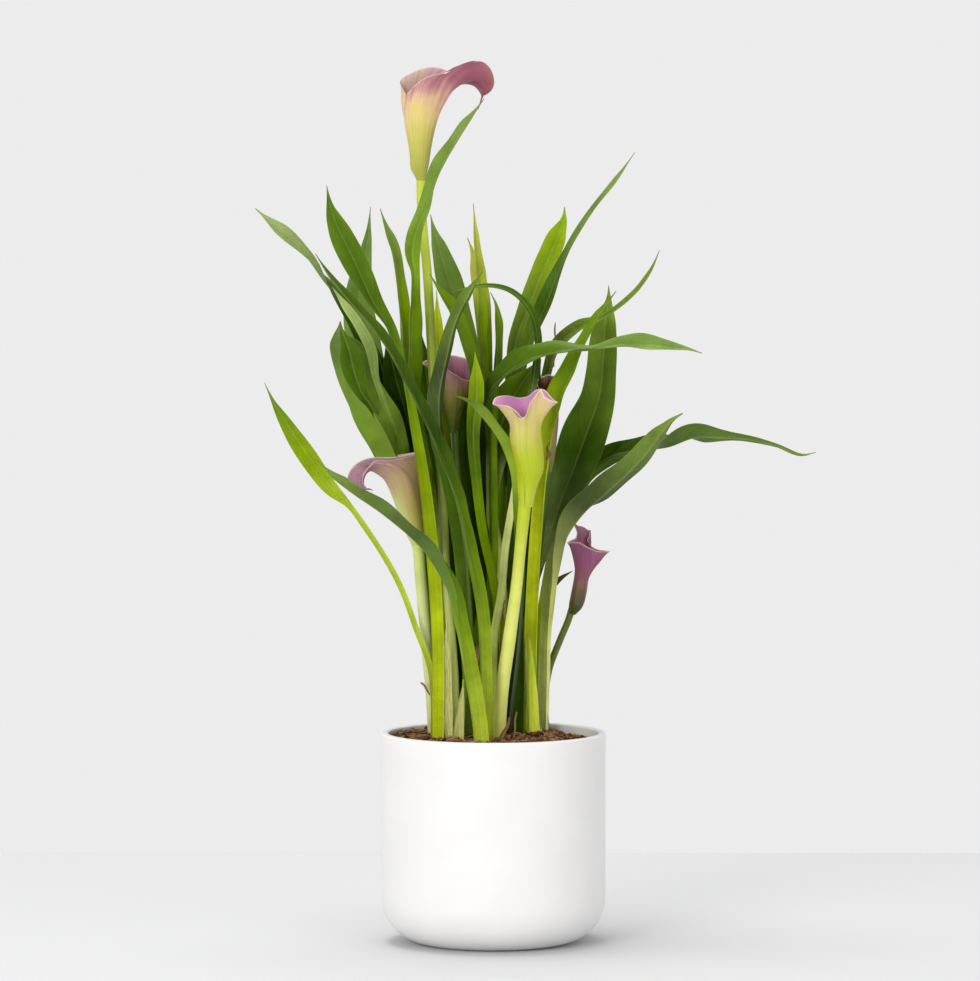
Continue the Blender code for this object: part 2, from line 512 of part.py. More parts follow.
def flower_frame(flower):
    """Place of a stalk's end, and the axis, tip and side directions of its flower."""
    end = np.array(flower.stalk[-1][:3], float)
    axis = unit(flower.axis)
    tip = np.array(flower.tip, float)
    tip = unit(tip - axis * (tip @ axis))
    return end, axis, tip, np.cross(axis, tip)


def sheet_length(flower, angle):
    """Length of the sheet from the collar to its edge, at an angle from the tip."""
    turned = np.minimum(np.abs(angle), math.pi)
    share = 0.5 + 0.5 * np.cos(turned)
    body = flower.seam + (flower.lip - flower.seam) * share ** 1.2
    pointed = flower.point * np.clip(1.0 - turned / 0.6, 0.0, 1.0) ** 2
    cut = flower.notch * np.clip(1.0 - (math.pi - turned) / 1.3, 0.0, 1.0)
    uneven = flower.skew * np.sin(turned) * np.sign(angle)
    return body + pointed - cut + uneven


def tongue_line(flower):
    """Distance along the sheet's middle line, its reach and height there, and its angle to the axis."""
    bends = np.array(flower.bends, float)
    along = np.linspace(0.0, bends[-1, 0], 161)
    tilt = np.radians(np.interp(along, bends[:, 0], bends[:, 1]))
    step = along[1]
    reach = flower.tube[0][1] + np.concatenate([[0.0], np.cumsum(np.sin(tilt[:-1]) * step)])
    height = np.concatenate([[0.0], np.cumsum(np.cos(tilt[:-1]) * step)]) - COLLAR_HEIGHT
    return along, reach, height, tilt


def sheet_middle(flower):
    """Points of the wrapped sheet's inner face from one lapped edge to the other, and their turns."""
    end, axis, tip, side = flower_frame(flower)
    across = np.linspace(-1.0, 1.0, SHEET_COLUMNS)
    shares = np.linspace(0.0, 1.0, SHEET_ROWS) ** 0.95
    turn, share = np.meshgrid(np.sign(across) * np.abs(across) ** 1.15, shares, indexing="ij")
    angle = turn * (math.pi - SHEET_OPENING + SHEET_LAP * smoothstep((share - 0.15) / 0.3))
    distance = share * sheet_length(flower, angle)
    line = tongue_line(flower)
    reach, height, tilt = (np.interp(distance, line[0], values) for values in line[1:])
    tube = np.array(flower.tube, float)
    radius = np.interp(distance, tube[:, 0], tube[:, 1])
    sides = 1.0 - (0.5 + 0.5 * np.cos(np.clip(angle, -math.pi, math.pi))) ** 2
    flare = flower.flare * sides * np.clip((share - 0.62) / 0.38, 0.0, 1.0) ** 2
    inward = radius * (np.cos(angle) - 1.0) + flare * np.cos(angle)
    sideways = (radius + flare) * np.sin(angle)
    out = reach + inward * np.cos(tilt)
    rise = height - inward * np.sin(tilt)
    places = end + out[..., None] * tip + rise[..., None] * axis + sideways[..., None] * side
    return places, turn * smoothstep(share / 0.15)


def sheet_points(flower):
    """Grids of points on the inner and the outer face of the wrapped sheet."""
    inner, turn = sheet_middle(flower)
    normal = unit(np.cross(np.gradient(inner, axis=0), np.gradient(inner, axis=1)))
    spread = SHEET_LAP_GAP * (0.5 * turn + 0.5)[..., None]
    inner = inner + normal * spread
    return inner, inner + normal * SHEET_THICKNESS


def thin_faces(columns, rows):
    """Triangles of a thin piece with two grids of points, the second behind the first."""
    layer = columns * rows
    faces = []
    for i in range(columns - 1):
        for j in range(rows - 1):
            a, b = i * rows + j, (i + 1) * rows + j
            for k in (0, layer):
                faces.append((a + k, b + k, b + 1 + k))
                faces.append((a + k, b + 1 + k, a + 1 + k))
    rim = [i * rows for i in range(columns)]
    rim += [(columns - 1) * rows + j for j in range(1, rows)]
    rim += [i * rows + rows - 1 for i in range(columns - 2, -1, -1)]
    rim += [j for j in range(rows - 2, 0, -1)]
    for a, b in zip(rim, rim[1:] + rim[:1]):
        faces.append((a, b, b + layer))
        faces.append((a, b + layer, a + layer))
    return faces


def make_sheet(name, flower, material):
    """The wrapped sheet of a flower."""
    inner, outer = sheet_points(flower)
    points = np.concatenate([inner.reshape(-1, 3), outer.reshape(-1, 3)])
    return make_object(name, points, thin_faces(*inner.shape[:2]), material)


def make_spadix(name, flower, material):
    """The club in the middle of a flower, standing on the stalk's end."""
    end, axis, tip, side = flower_frame(flower)
    base = min(flower.stalk[-1][3] / 2.0 - 0.4, SPADIX_WIDEST)
    shape = [(0.0, base), (0.3, base * 1.08), (0.7, base), (0.92, base * 0.75), (1.0, base * 0.3)]
    turn = np.arange(SPADIX_SIDES) / SPADIX_SIDES * math.tau
    rings = []
    for share, radius in shape:
        middle = end + axis * (2.0 * CLEARANCE + share * flower.spadix)
        rings.append(middle + radius * (np.outer(np.cos(turn), tip) + np.outer(np.sin(turn), side)))
    return make_round(name, np.array(rings), material)


def make_sheath(name, spot, radius, start, stop, heights, material):
    """A papery sheath, part of a tube that stands in the soil with a ragged top."""
    turns = np.radians(np.linspace(start, stop, len(heights)))
    points = []
    for reach in (radius, radius + MARGIN_THICKNESS):
        for turn, height in zip(turns, heights):
            for rise, lean in ((-SHEATH_DEPTH, 0.0), (height * 0.5, 0.3), (height, 0.8)):
                wide = reach + lean
                x = spot[0] + wide * math.cos(turn)
                y = spot[1] + wide * math.sin(turn)
                points.append((x, y, SOIL_LEVEL + rise))
    return make_object(name, points, thin_faces(len(heights), 3), material)


def turned_body(name, profile, sides, material):
    """A body turned about +Z from radius and height points that start and end on the axis."""
    turn = np.arange(sides) / sides * math.tau
    points = [(0.0, 0.0, profile[0][1])]
    for radius, height in profile[1:-1]:
        points += [(radius * math.cos(t), radius * math.sin(t), height) for t in turn]
    points.append((0.0, 0.0, profile[-1][1]))
    last = len(points) - 1
    rings = len(profile) - 2
    faces = []
    for j in range(sides):
        following = (j + 1) % sides
        faces.append((0, 1 + j, 1 + following))
        faces.append((last, last - sides + j, last - sides + following))
        for i in range(rings - 1):
            a, b = 1 + i * sides + j, 1 + i * sides + following
            faces.append((a, b, b + sides, a + sides))
    return make_object(name, points, faces, material)


def foot_arc(radius, height, steps):
    """Points of the round lower edge of the pot, from the side down to the base."""
    inner = radius - height
    turns = [math.pi / 2.0 * i / steps for i in range(steps + 1)]
    return [(inner + height * math.cos(t), height - height * math.sin(t)) for t in turns]


def pot_inside(steps, inset=0.0):
    """Inner outline of the pot from the rim down to the floor, drawn in by an inset."""
    radius = POT_RADIUS - POT_WALL - inset
    bend = POT_FOOT_BEND - POT_WALL - inset
    arc = foot_arc(radius, bend, steps)
    return [(r, z + POT_FLOOR + inset) for r, z in arc]


def make_pot(material):
    """The round pot with its rounded foot and open top."""
    lip = 1.2
    inside = list(reversed(pot_inside(5)))
    profile = [(0.0, POT_FLOOR)] + inside
    profile.append((POT_RADIUS - POT_WALL, POT_HEIGHT - lip))
    profile.append((POT_RADIUS - POT_WALL + lip, POT_HEIGHT))
    profile.append((POT_RADIUS - lip, POT_HEIGHT))
    profile.append((POT_RADIUS, POT_HEIGHT - lip))
    profile += foot_arc(POT_RADIUS, POT_FOOT_BEND, 6)
    profile.append((0.0, 0.0))
    return turned_body("pot", profile, POT_SIDES, material)


def soil_rise(x, y):
    """Height of the soil's surface over its level: low mounds, and a dip to the right."""
    waves = math.sin(x * 0.21 + 1.3) * math.cos(y * 0.17 - 0.4) + 0.6 * math.sin(x * 0.09 - y * 0.13)
    reach = math.hypot(x, y) / POT_RADIUS
    dip = SOIL_DIP * smoothstep((x - 30.0) / 30.0)
    return SOIL_RELIEF * waves * (1.0 - reach ** 4) - dip


def make_soil(holes, pockets, material):
    """The soil that fills the pot, with holes for the stalks and pockets for the tubers."""
    outline = list(reversed(pot_inside(5, CLEARANCE)))
    wall = outline[-1][0]
    profile = [(0.0, POT_FLOOR + CLEARANCE)] + outline
    tops = [wall * (SOIL_RINGS - i) / SOIL_RINGS for i in range(SOIL_RINGS)]
    profile += [(r, SOIL_LEVEL) for r in tops]
    profile.append((0.0, SOIL_LEVEL))
    soil = turned_body("soil", profile, SOIL_SIDES, material)
    top = (SOIL_LEVEL - 1.0) * METRE
    for corner in soil.data.vertices:
        if corner.co.z > top:
            corner.co.z += float(soil_rise(corner.co.x / METRE, corner.co.y / METRE)) * METRE
    for cutter in pockets + holes:
        cut = soil.modifiers.new(cutter.name, "BOOLEAN")
        cut.operation = "DIFFERENCE"
        cut.object = cutter
    view = bpy.context.evaluated_depsgraph_get()
    shaped = bpy.data.meshes.new_from_object(soil.evaluated_get(view))
    soil.modifiers.clear()
    soil.data = shaped
    for cutter in pockets + holes:
        bpy.data.objects.remove(cutter)
    return soil


def tuber_profile(extra):
    """Outline of a flattened tuber with a flat crown, larger all round by extra."""
    top = STALK_FOOT - CLEARANCE + extra
    low = STALK_FOOT - CLEARANCE - TUBER_HEIGHT - extra
    wide = TUBER_RADIUS + extra
    middle = (top + low) / 2.0
    return [
        (0.0, top), (wide * 0.8, top), (wide, middle + 3.0), (wide, middle - 3.0),
        (wide * 0.62, low), (0.0, low)]


def make_tuber(name, spot, extra, material):
    """A tuber, or the pocket round it where extra is more than 0."""
    tuber = turned_body(name, tuber_profile(extra), 16, material)
    for corner in tuber.data.vertices:
        corner.co.x += spot[0] * METRE
        corner.co.y += spot[1] * METRE
    return tuber


def leaf_hole(name, leaf, material):
    """A cutter for the hole of a leaf's stalk."""
    stations = [0.0, 1.0]
    rise = leaf.route[1][2] - leaf.route[0][2]
    stations.append(1.0 + HOLE_PAST_SOIL / rise)
    rings = leaf_points(leaf, CLEARANCE + 0.1, stations)
    rings[0, :, 2] -= CLEARANCE
    return make_round(name, rings, material)


def flower_hole(name, flower, material):
    """A cutter for the hole of a flower's stalk."""
    rise = flower.stalk[1][2] - flower.stalk[0][2]
    stations = [0.0, 1.0, 1.0 + HOLE_PAST_SOIL / rise]
    rings = round_rings(stalk_route(flower.stalk), stations, CLEARANCE + 0.1)
    rings[0, :, 2] -= CLEARANCE
    return make_round(name, rings, material)


def sheath_hole(name, spot, radius, material):
    """A cutter for the round hole in which a sheath stands."""
    sides = SHEATH_SLOT_SIDES
    turn = np.arange(sides) / sides * math.tau
    wide = (radius + MARGIN_THICKNESS + 2.0 * CLEARANCE) / math.cos(math.pi / sides)
    x = spot[0] + wide * np.cos(turn)
    y = spot[1] + wide * np.sin(turn)
    low = SOIL_LEVEL - SHEATH_DEPTH - CLEARANCE
    high = SOIL_LEVEL + SHEATH_SLOT_TOP
    rings = [np.stack([x, y, np.full(sides, level)], axis=1) for level in (low, high)]
    return make_round(name, np.array(rings), material)


def main():
    """Build the whole plant."""
    for item in list(bpy.data.objects):
        bpy.data.objects.remove(item)
    ceramic = make_material("white_ceramic", "F2F2F0", 0.35)
    earth = make_material("dark_peat", "3A2A20", 0.95)
    tuber_skin = make_material("tuber_skin", "7A5A3C", 0.8)
    green = make_material("leaf_green", "4E7A22", 0.4)
    stalk = make_material("flower_stalk", "C4CC50", 0.45)
    petal = make_material("flower_sheet", "D8C878", 0.5)
    club = make_material("flower_club", "D9B84A", 0.7)
    papery = make_material("papery_sheath", "A88A5C", 0.75)

    make_pot(ceramic)
    pockets = []
    for i, spot in enumerate(TUBER_SPOTS):
        make_tuber(f"tuber_{i + 1}", spot, 0.0, tuber_skin)
        pockets.append(make_tuber(f"pocket_{i + 1}", spot, CLEARANCE, earth))
    holes = []
    for name, leaf in LEAVES.items():
        make_leaf(name, leaf, green)
        holes.append(leaf_hole(f"hole_{name}", leaf, earth))
    for name, flower in FLOWERS.items():
        rings = round_rings(stalk_route(flower.stalk), range(len(flower.stalk) + 1))
        make_round(f"scape_{name}", rings, stalk)
        make_sheet(f"spathe_{name}", flower, petal)
        make_spadix(f"spadix_{name}", flower, club)
        holes.append(flower_hole(f"hole_{name}", flower, earth))
    for name, (spot, radius, start, stop, heights) in SHEATHS.items():
        make_sheath(name, spot, radius, start, stop, heights, papery)
        holes.append(sheath_hole(f"hole_{name}", spot, radius, earth))
    make_soil(holes, pockets, earth)


main()
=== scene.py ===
"""Potted calla lily: the finished plant, soil and pot, and the studio that they stand in.

Lengths are millimetres until a mesh is made. Every leaf, stalk and flower follows the route points of
its solid in the frame and is drawn finer, so each finished piece lies where its solid lies.
"""

import logging
import math
from collections.abc import Mapping, Sequence
from dataclasses import dataclass
from enum import Enum
from typing import Any

import bmesh
import bpy
import numpy as np
from numpy.typing import NDArray
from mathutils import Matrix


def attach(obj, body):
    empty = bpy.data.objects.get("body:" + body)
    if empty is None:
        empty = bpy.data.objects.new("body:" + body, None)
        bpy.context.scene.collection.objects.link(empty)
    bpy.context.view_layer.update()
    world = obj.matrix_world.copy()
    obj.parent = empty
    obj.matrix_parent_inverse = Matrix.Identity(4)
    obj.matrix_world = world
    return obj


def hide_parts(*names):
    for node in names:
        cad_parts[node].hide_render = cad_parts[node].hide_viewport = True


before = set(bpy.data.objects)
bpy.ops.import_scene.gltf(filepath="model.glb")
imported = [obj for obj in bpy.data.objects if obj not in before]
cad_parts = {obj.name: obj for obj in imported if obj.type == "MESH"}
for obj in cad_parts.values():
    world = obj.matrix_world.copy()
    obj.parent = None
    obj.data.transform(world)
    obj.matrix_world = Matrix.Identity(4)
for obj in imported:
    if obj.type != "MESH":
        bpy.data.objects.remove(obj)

Array = NDArray[np.float64]
Point = tuple[float, ...]

LOG = logging.getLogger("calla_lily")
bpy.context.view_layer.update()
METRE = 0.001
SEED = 4127

# Sizes that the pot, the soil and the stalks share
POT_RADIUS = 72.5
POT_WALL = 4.5
POT_FLOOR = 6.0
POT_FOOT = 29.0
SOIL_LEVEL = 133.0
STALK_FOOT = 111.0


def linear(code: str) -> tuple[float, float, float, float]:
    """Turn a colour into the linear values that a shader takes.

    Args:
        code: Six hex digits of an sRGB colour.

    Returns:
        Linear red, green and blue, and an alpha of 1.
    """
    parts = [int(code[i:i + 2], 16) / 255.0 for i in (0, 2, 4)]
    red, green, blue = (p / 12.92 if p <= 0.04045 else ((p + 0.055) / 1.055) ** 2.4 for p in parts)
    return red, green, blue, 1.0


def per_metre(size: float) -> float:
    """Scale, on coordinates in metres, of a pattern whose grain is this many millimetres wide."""
    return 1.0 / (size * METRE)


def unit(vectors: Array) -> Array:
    """Bring vectors to length 1."""
    return vectors / np.linalg.norm(vectors, axis=-1, keepdims=True)


def stacked(*parts: Array | float) -> Array:
    """Values brought to one shape and put side by side as vectors."""
    return np.stack(np.broadcast_arrays(*parts), axis=-1)


def smoothstep(value: Array | float) -> Any:
    """A soft ramp: three times the square less twice the cube, held between 0 and 1."""
    value = np.clip(value, 0.0, 1.0)
    return value * value * (3.0 - 2.0 * value)


def distances(points: Sequence[Point] | Array) -> Array:
    """Distance of each route point from the first, summed from the straight steps between them."""
    places = np.array([point[:3] for point in points], float)
    return np.concatenate([[0.0], np.cumsum(np.linalg.norm(np.diff(places, axis=0), axis=1))])


def route_curve(points: Sequence[Point] | Array, stations: Array, along: Array | None = None) -> Array:
    """Values of a smooth curve through points.

    Each span is a cubic whose slopes at both ends are the mean slopes of the points beside them.

    Args:
        points: The points, which start with a place where no distances are given.
        stations: Where to read the curve, counted in points.
        along: Distance of each point, or none to measure it between their places.

    Returns:
        One row of values for each station.
    """
    table = np.asarray(points, float)
    along = distances(points) if along is None else along
    slopes = np.gradient(table, along, axis=0)
    first = np.minimum(stations.astype(int), len(table) - 2)
    part = (stations - first)[:, None]
    step = np.diff(along)[first][:, None]
    start, end = table[first], table[first + 1]
    rise, fall = slopes[first] * step, slopes[first + 1] * step
    bow = rise * part * (1.0 - part) ** 2 - fall * part * part * (1.0 - part)
    return start + (end - start) * smoothstep(part) + bow


def even_stations(points: Sequence[Point] | Array, step: float) -> tuple[Array, Array]:
    """Stations at even distances along a route.

    Args:
        points: Route points, whose first three values are a place.
        step: Distance between stations.

    Returns:
        The stations, counted in points, and their distances from the start.
    """
    along = distances(points)
    distance = np.linspace(0.0, along[-1], int(math.ceil(along[-1] / step)) + 1)
    return np.interp(distance, along, np.arange(len(along))), distance


def route_frames(places: Array) -> tuple[Array, Array]:
    """Directions square to a route: one towards -Y, and their cross product with the route across it.

    Args:
        places: Places along the route.

    Returns:
        The directions across it and towards -Y at each place.
    """
    along = unit(np.gradient(places, axis=0))
    towards = np.array([0.0, -1.0, 0.0])
    facing = unit(towards - along * (along @ towards)[:, None])
    return np.cross(along, facing), facing


def turned(first: Array, second: Array, angle: Array) -> tuple[Array, Array]:
    """Two coordinates or directions, square to each other, after a turn by each row's angle."""
    cos, sin = np.cos(angle)[:, None], np.sin(angle)[:, None]
    return first * cos - second * sin, first * sin + second * cos


def circle_rings(middles: Array, radius: Array, sides: int, across: Array, facing: Array) -> Array:
    """Rings of points round a line of middles.

    Args:
        middles: Middle of each ring.
        radius: One row for each ring, with its radius once or at each side.
        sides: Number of points round a ring.
        across: Direction to each ring's first point.
        facing: Direction a quarter turn further.

    Returns:
        The rings' points.
    """
    turn = np.arange(sides) / sides * math.tau
    return (middles[:, None] + (radius * np.cos(turn))[..., None] * across[:, None]
            + (radius * np.sin(turn))[..., None] * facing[:, None])


def smooth_line(points: Sequence[Point], places: Array) -> Array:
    """The curve of route_curve for one value, level beyond its first and last point.

    Args:
        points: Distance and value of each point, in order.
        places: Distances at which the curve is read.

    Returns:
        The value at each place.
    """
    table = np.asarray(points, float)
    stations = np.interp(places.ravel(), table[:, 0], np.arange(len(table)))
    return route_curve(table[:, 1:], stations, table[:, 0]).reshape(places.shape)


def value_noise(x: Array, y: Array, cell: float, seed: int) -> Array:
    """Smooth noise from -1 to 1: random heights at the corners of square cells, blended inside them.

    Args:
        x: First coordinate of each point.
        y: Second coordinate of each point.
        cell: Side of a cell.
        seed: Seed of the random heights.

    Returns:
        The height at each point.
    """
    count = 64
    table = np.random.default_rng(seed).uniform(-1.0, 1.0, (count, count))
    u, v = x / cell, y / cell
    i, j = np.floor(u).astype(int), np.floor(v).astype(int)
    s, t = smoothstep(u - i), smoothstep(v - j)
    near = table[i % count, j % count] * (1.0 - s) + table[(i + 1) % count, j % count] * s
    far = table[i % count, (j + 1) % count] * (1.0 - s) + table[(i + 1) % count, (j + 1) % count] * s
    return near * (1.0 - t) + far * t


def ring_quads(count: int, sides: int) -> Array:
    """Quads between rings of points that follow each other, with each ring closed on itself.

    Args:
        count: Number of rings.
        sides: Number of points in a ring.

    Returns:
        The four corners of each quad.
    """
    i, j = np.meshgrid(np.arange(count - 1), np.arange(sides), indexing="ij")
    a = i * sides + j
    b = i * sides + (j + 1) % sides
    return stacked(a, b, b + sides, a + sides).reshape(-1, 4)


def thin_quads(columns: int, rows: int) -> Array:
    """Quads of a thin closed piece: two grids of points, the second behind the first, and its edges.

    Args:
        columns: Number of columns of a grid.
        rows: Number of points in a column.

    Returns:
        The four corners of each quad.
    """
    i, j = np.meshgrid(np.arange(columns - 1), np.arange(rows - 1), indexing="ij")
    a = (i * rows + j).ravel()
    layer = columns * rows
    front = stacked(a, a + rows, a + rows + 1, a + 1)
    rim = np.concatenate([
        np.arange(columns) * rows,
        (columns - 1) * rows + np.arange(1, rows),
        np.arange(columns - 2, -1, -1) * rows + rows - 1,
        np.arange(rows - 2, 0, -1)])
    after = np.roll(rim, -1)
    edge = stacked(rim, after, after + layer, rim + layer)
    return np.concatenate([front, front[:, ::-1] + layer, edge])


@dataclass
class Surface:
    """A closed surface before it becomes a mesh.

    points: Places, one row each.
    faces: Corner numbers of each face.
    marks: Named vectors at the points, which its finish reads.
    """

    points: Array
    faces: list[list[int]]
    marks: dict[str, Array]

    def joined(self, other: "Surface") -> "Surface":
        """Put this surface and another one together, as separate shells.

        Args:
            other: The other surface, with the same marks.

        Returns:
            Both as one surface.
        """
        shift = len(self.points)
        faces = self.faces + [[corner + shift for corner in face] for face in other.faces]
        marks = {key: np.concatenate([value, other.marks[key]]) for key, value in self.marks.items()}
        return Surface(np.concatenate([self.points, other.points]), faces, marks)

    def piece(self, name: str, material: bpy.types.Material, sharp: float = 60.0) -> bpy.types.Object:
        """Make the mesh, with its faces turned outward and shaded smooth.

        Args:
            name: Name of the object.
            material: Finish of the whole surface.
            sharp: Edges that turn by more degrees than this stay crisp.

        Returns:
            The object, at the origin.
        """
        mesh = bpy.data.meshes.new(name)
        mesh.from_pydata((self.points * METRE).tolist(), [], self.faces)
        shape = bmesh.new()
        shape.from_mesh(mesh)
        bmesh.ops.recalc_face_normals(shape, faces=shape.faces)
        shape.to_mesh(mesh)
        shape.free()
        for key, values in self.marks.items():
            mark = mesh.attributes.new(key, "FLOAT_VECTOR", "POINT")
            mark.data.foreach_set("vector", np.ascontiguousarray(values, dtype=np.float32).ravel())
        mesh.materials.append(material)
        mesh.shade_smooth()
        mesh.set_sharp_from_angle(angle=math.radians(sharp))
        item = bpy.data.objects.new(name, mesh)
        bpy.context.scene.collection.objects.link(item)
        return item


def tube_surface(rings: Array, marks: Mapping[str, Array]) -> Surface:
    """A closed surface through rings of points, with a flat cap at each end.

    Args:
        rings: Points of each ring.
        marks: Named vectors at the same points.

    Returns:
        The surface.
    """
    count, sides = rings.shape[:2]
    faces = ring_quads(count, sides).tolist()
    faces.append(list(range(sides))[::-1])
    faces.append(list(range((count - 1) * sides, count * sides)))
    return Surface(rings.reshape(-1, 3), faces, {key: value.reshape(-1, 3) for key, value in marks.items()})


def thin_surface(grids: Sequence[Array], marks: Mapping[str, Sequence[Array]]) -> Surface:
    """A thin closed surface of two grids of points and the quads between their edges.

    Args:
        grids: Points of the first grid and of the one behind it.
        marks: Named vectors at the points of both.

    Returns:
        The surface.
    """
    columns, rows = grids[0].shape[:2]
    points, *values = (np.concatenate([part.reshape(-1, 3) for part in parts])
                       for parts in (grids, *marks.values()))
    return Surface(points, thin_quads(columns, rows).tolist(), dict(zip(marks, values)))


def place_piece(item: bpy.types.Object, slot: str, *nodes: str) -> None:
    """Let a finished piece ride on the plant's body and stand for its nodes.

    Args:
        item: The piece.
        slot: Slot of the record that it would take; not used.
        *nodes: Solids that it replaces.
    """
    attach(item, "root")
    if nodes:
        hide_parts(*nodes)
    LOG.info("%s: %d faces", item.name, len(item.data.polygons))


class Graph:
    """The nodes of one material or of the surround, filled node by node."""

    def __init__(self, owner: bpy.types.Material | bpy.types.World, shader: str = "Principled BSDF") -> None:
        """Turn on the owner's nodes and find its shader.

        Args:
            owner: A new material or surround.
            shader: Name of the node that takes the result.
        """
        owner.use_nodes = True
        self.owner = owner
        self.tree = owner.node_tree
        self.shader = self.tree.nodes[shader]

    def add(self, kind: str, inputs: Mapping[Any, Any], stops: Sequence[tuple[float, str]] = (),
            **settings: Any) -> bpy.types.NodeOutputs:
        """Add a node, set it up and fill or link its inputs.

        Args:
            kind: The node's type without its ShaderNode prefix.
            inputs: Value or output for each input, by name or number.
            stops: Places and sRGB colours of a colour ramp.
            **settings: The node's own settings.

        Returns:
            The node's outputs.
        """
        node = self.tree.nodes.new(f"ShaderNode{kind}")
        for key, value in settings.items():
            setattr(node, key, value)
        for i, (place, code) in enumerate(stops):
            element = node.color_ramp.elements[i] if i < 2 else node.color_ramp.elements.new(place)
            element.position = place
            element.color = linear(code)
        for key, value in inputs.items():
            self.fill(node.inputs[key], value)
        return node.outputs

    def fill(self, socket: bpy.types.NodeSocket, value: Any) -> None:
        """Link an output to a socket, or set the socket's own value.

        Args:
            socket: The input socket.
            value: An output, a number, a colour or a vector.
        """
        if isinstance(value, bpy.types.NodeSocket):
            self.tree.links.new(value, socket)
        else:
            socket.default_value = value

    def finish(self, inputs: Mapping[str, Any]) -> Any:
        """Fill the shader's inputs.

        Args:
            inputs: Value or output for each input, by name.

        Returns:
            The finished material or surround.
        """
        for key, value in inputs.items():
            self.fill(self.shader.inputs[key], value)
        return self.owner

    def mark(self, name: str) -> tuple[bpy.types.NodeSocket, ...]:
        """The three values that a surface carries under this name."""
        parts = self.add("SeparateXYZ", {0: self.add("Attribute", {}, attribute_name=name)["Vector"]})
        return parts[0], parts[1], parts[2]


class Green(Enum):
    """Leaf greens, from pale young stalks to withered tips. The three darkest are painted shade for parts
    deep in the clump, the brightest lime is painted light on stalks lit from behind, and the grey and sage
    tones are the paler grey-green face with a painted sheen.
    """

    CREAM = "D8DC92"
    PALE = "C2CA6A"
    # Painted light: a bright lime that stands for stalks lit from behind.
    BACKLIT = "BECB20"
    LIME = "A4B434"
    SPRING = "88A00A"
    GRASS = "688606"
    LEAF = "546F08"
    OLIVE = "647A26"
    FERN = "4E6A16"
    MOSS = "44600C"
    DEEP = "2C4A06"
    # Painted shade: this tone and the two after it stand for leaf parts in shade deep in the clump.
    SHADE = "203A04"
    DARK_SHADE = "162804"
    BLACK_SHADE = "0C1C02"
    # This tone and the next: the paler grey-green leaf face with a painted sheen on it.
    GREY_SHEEN = "6C8440"
    SAGE = "8E9E5E"
    STRAW = "B8B64C"
    BROWN = "4A4038"


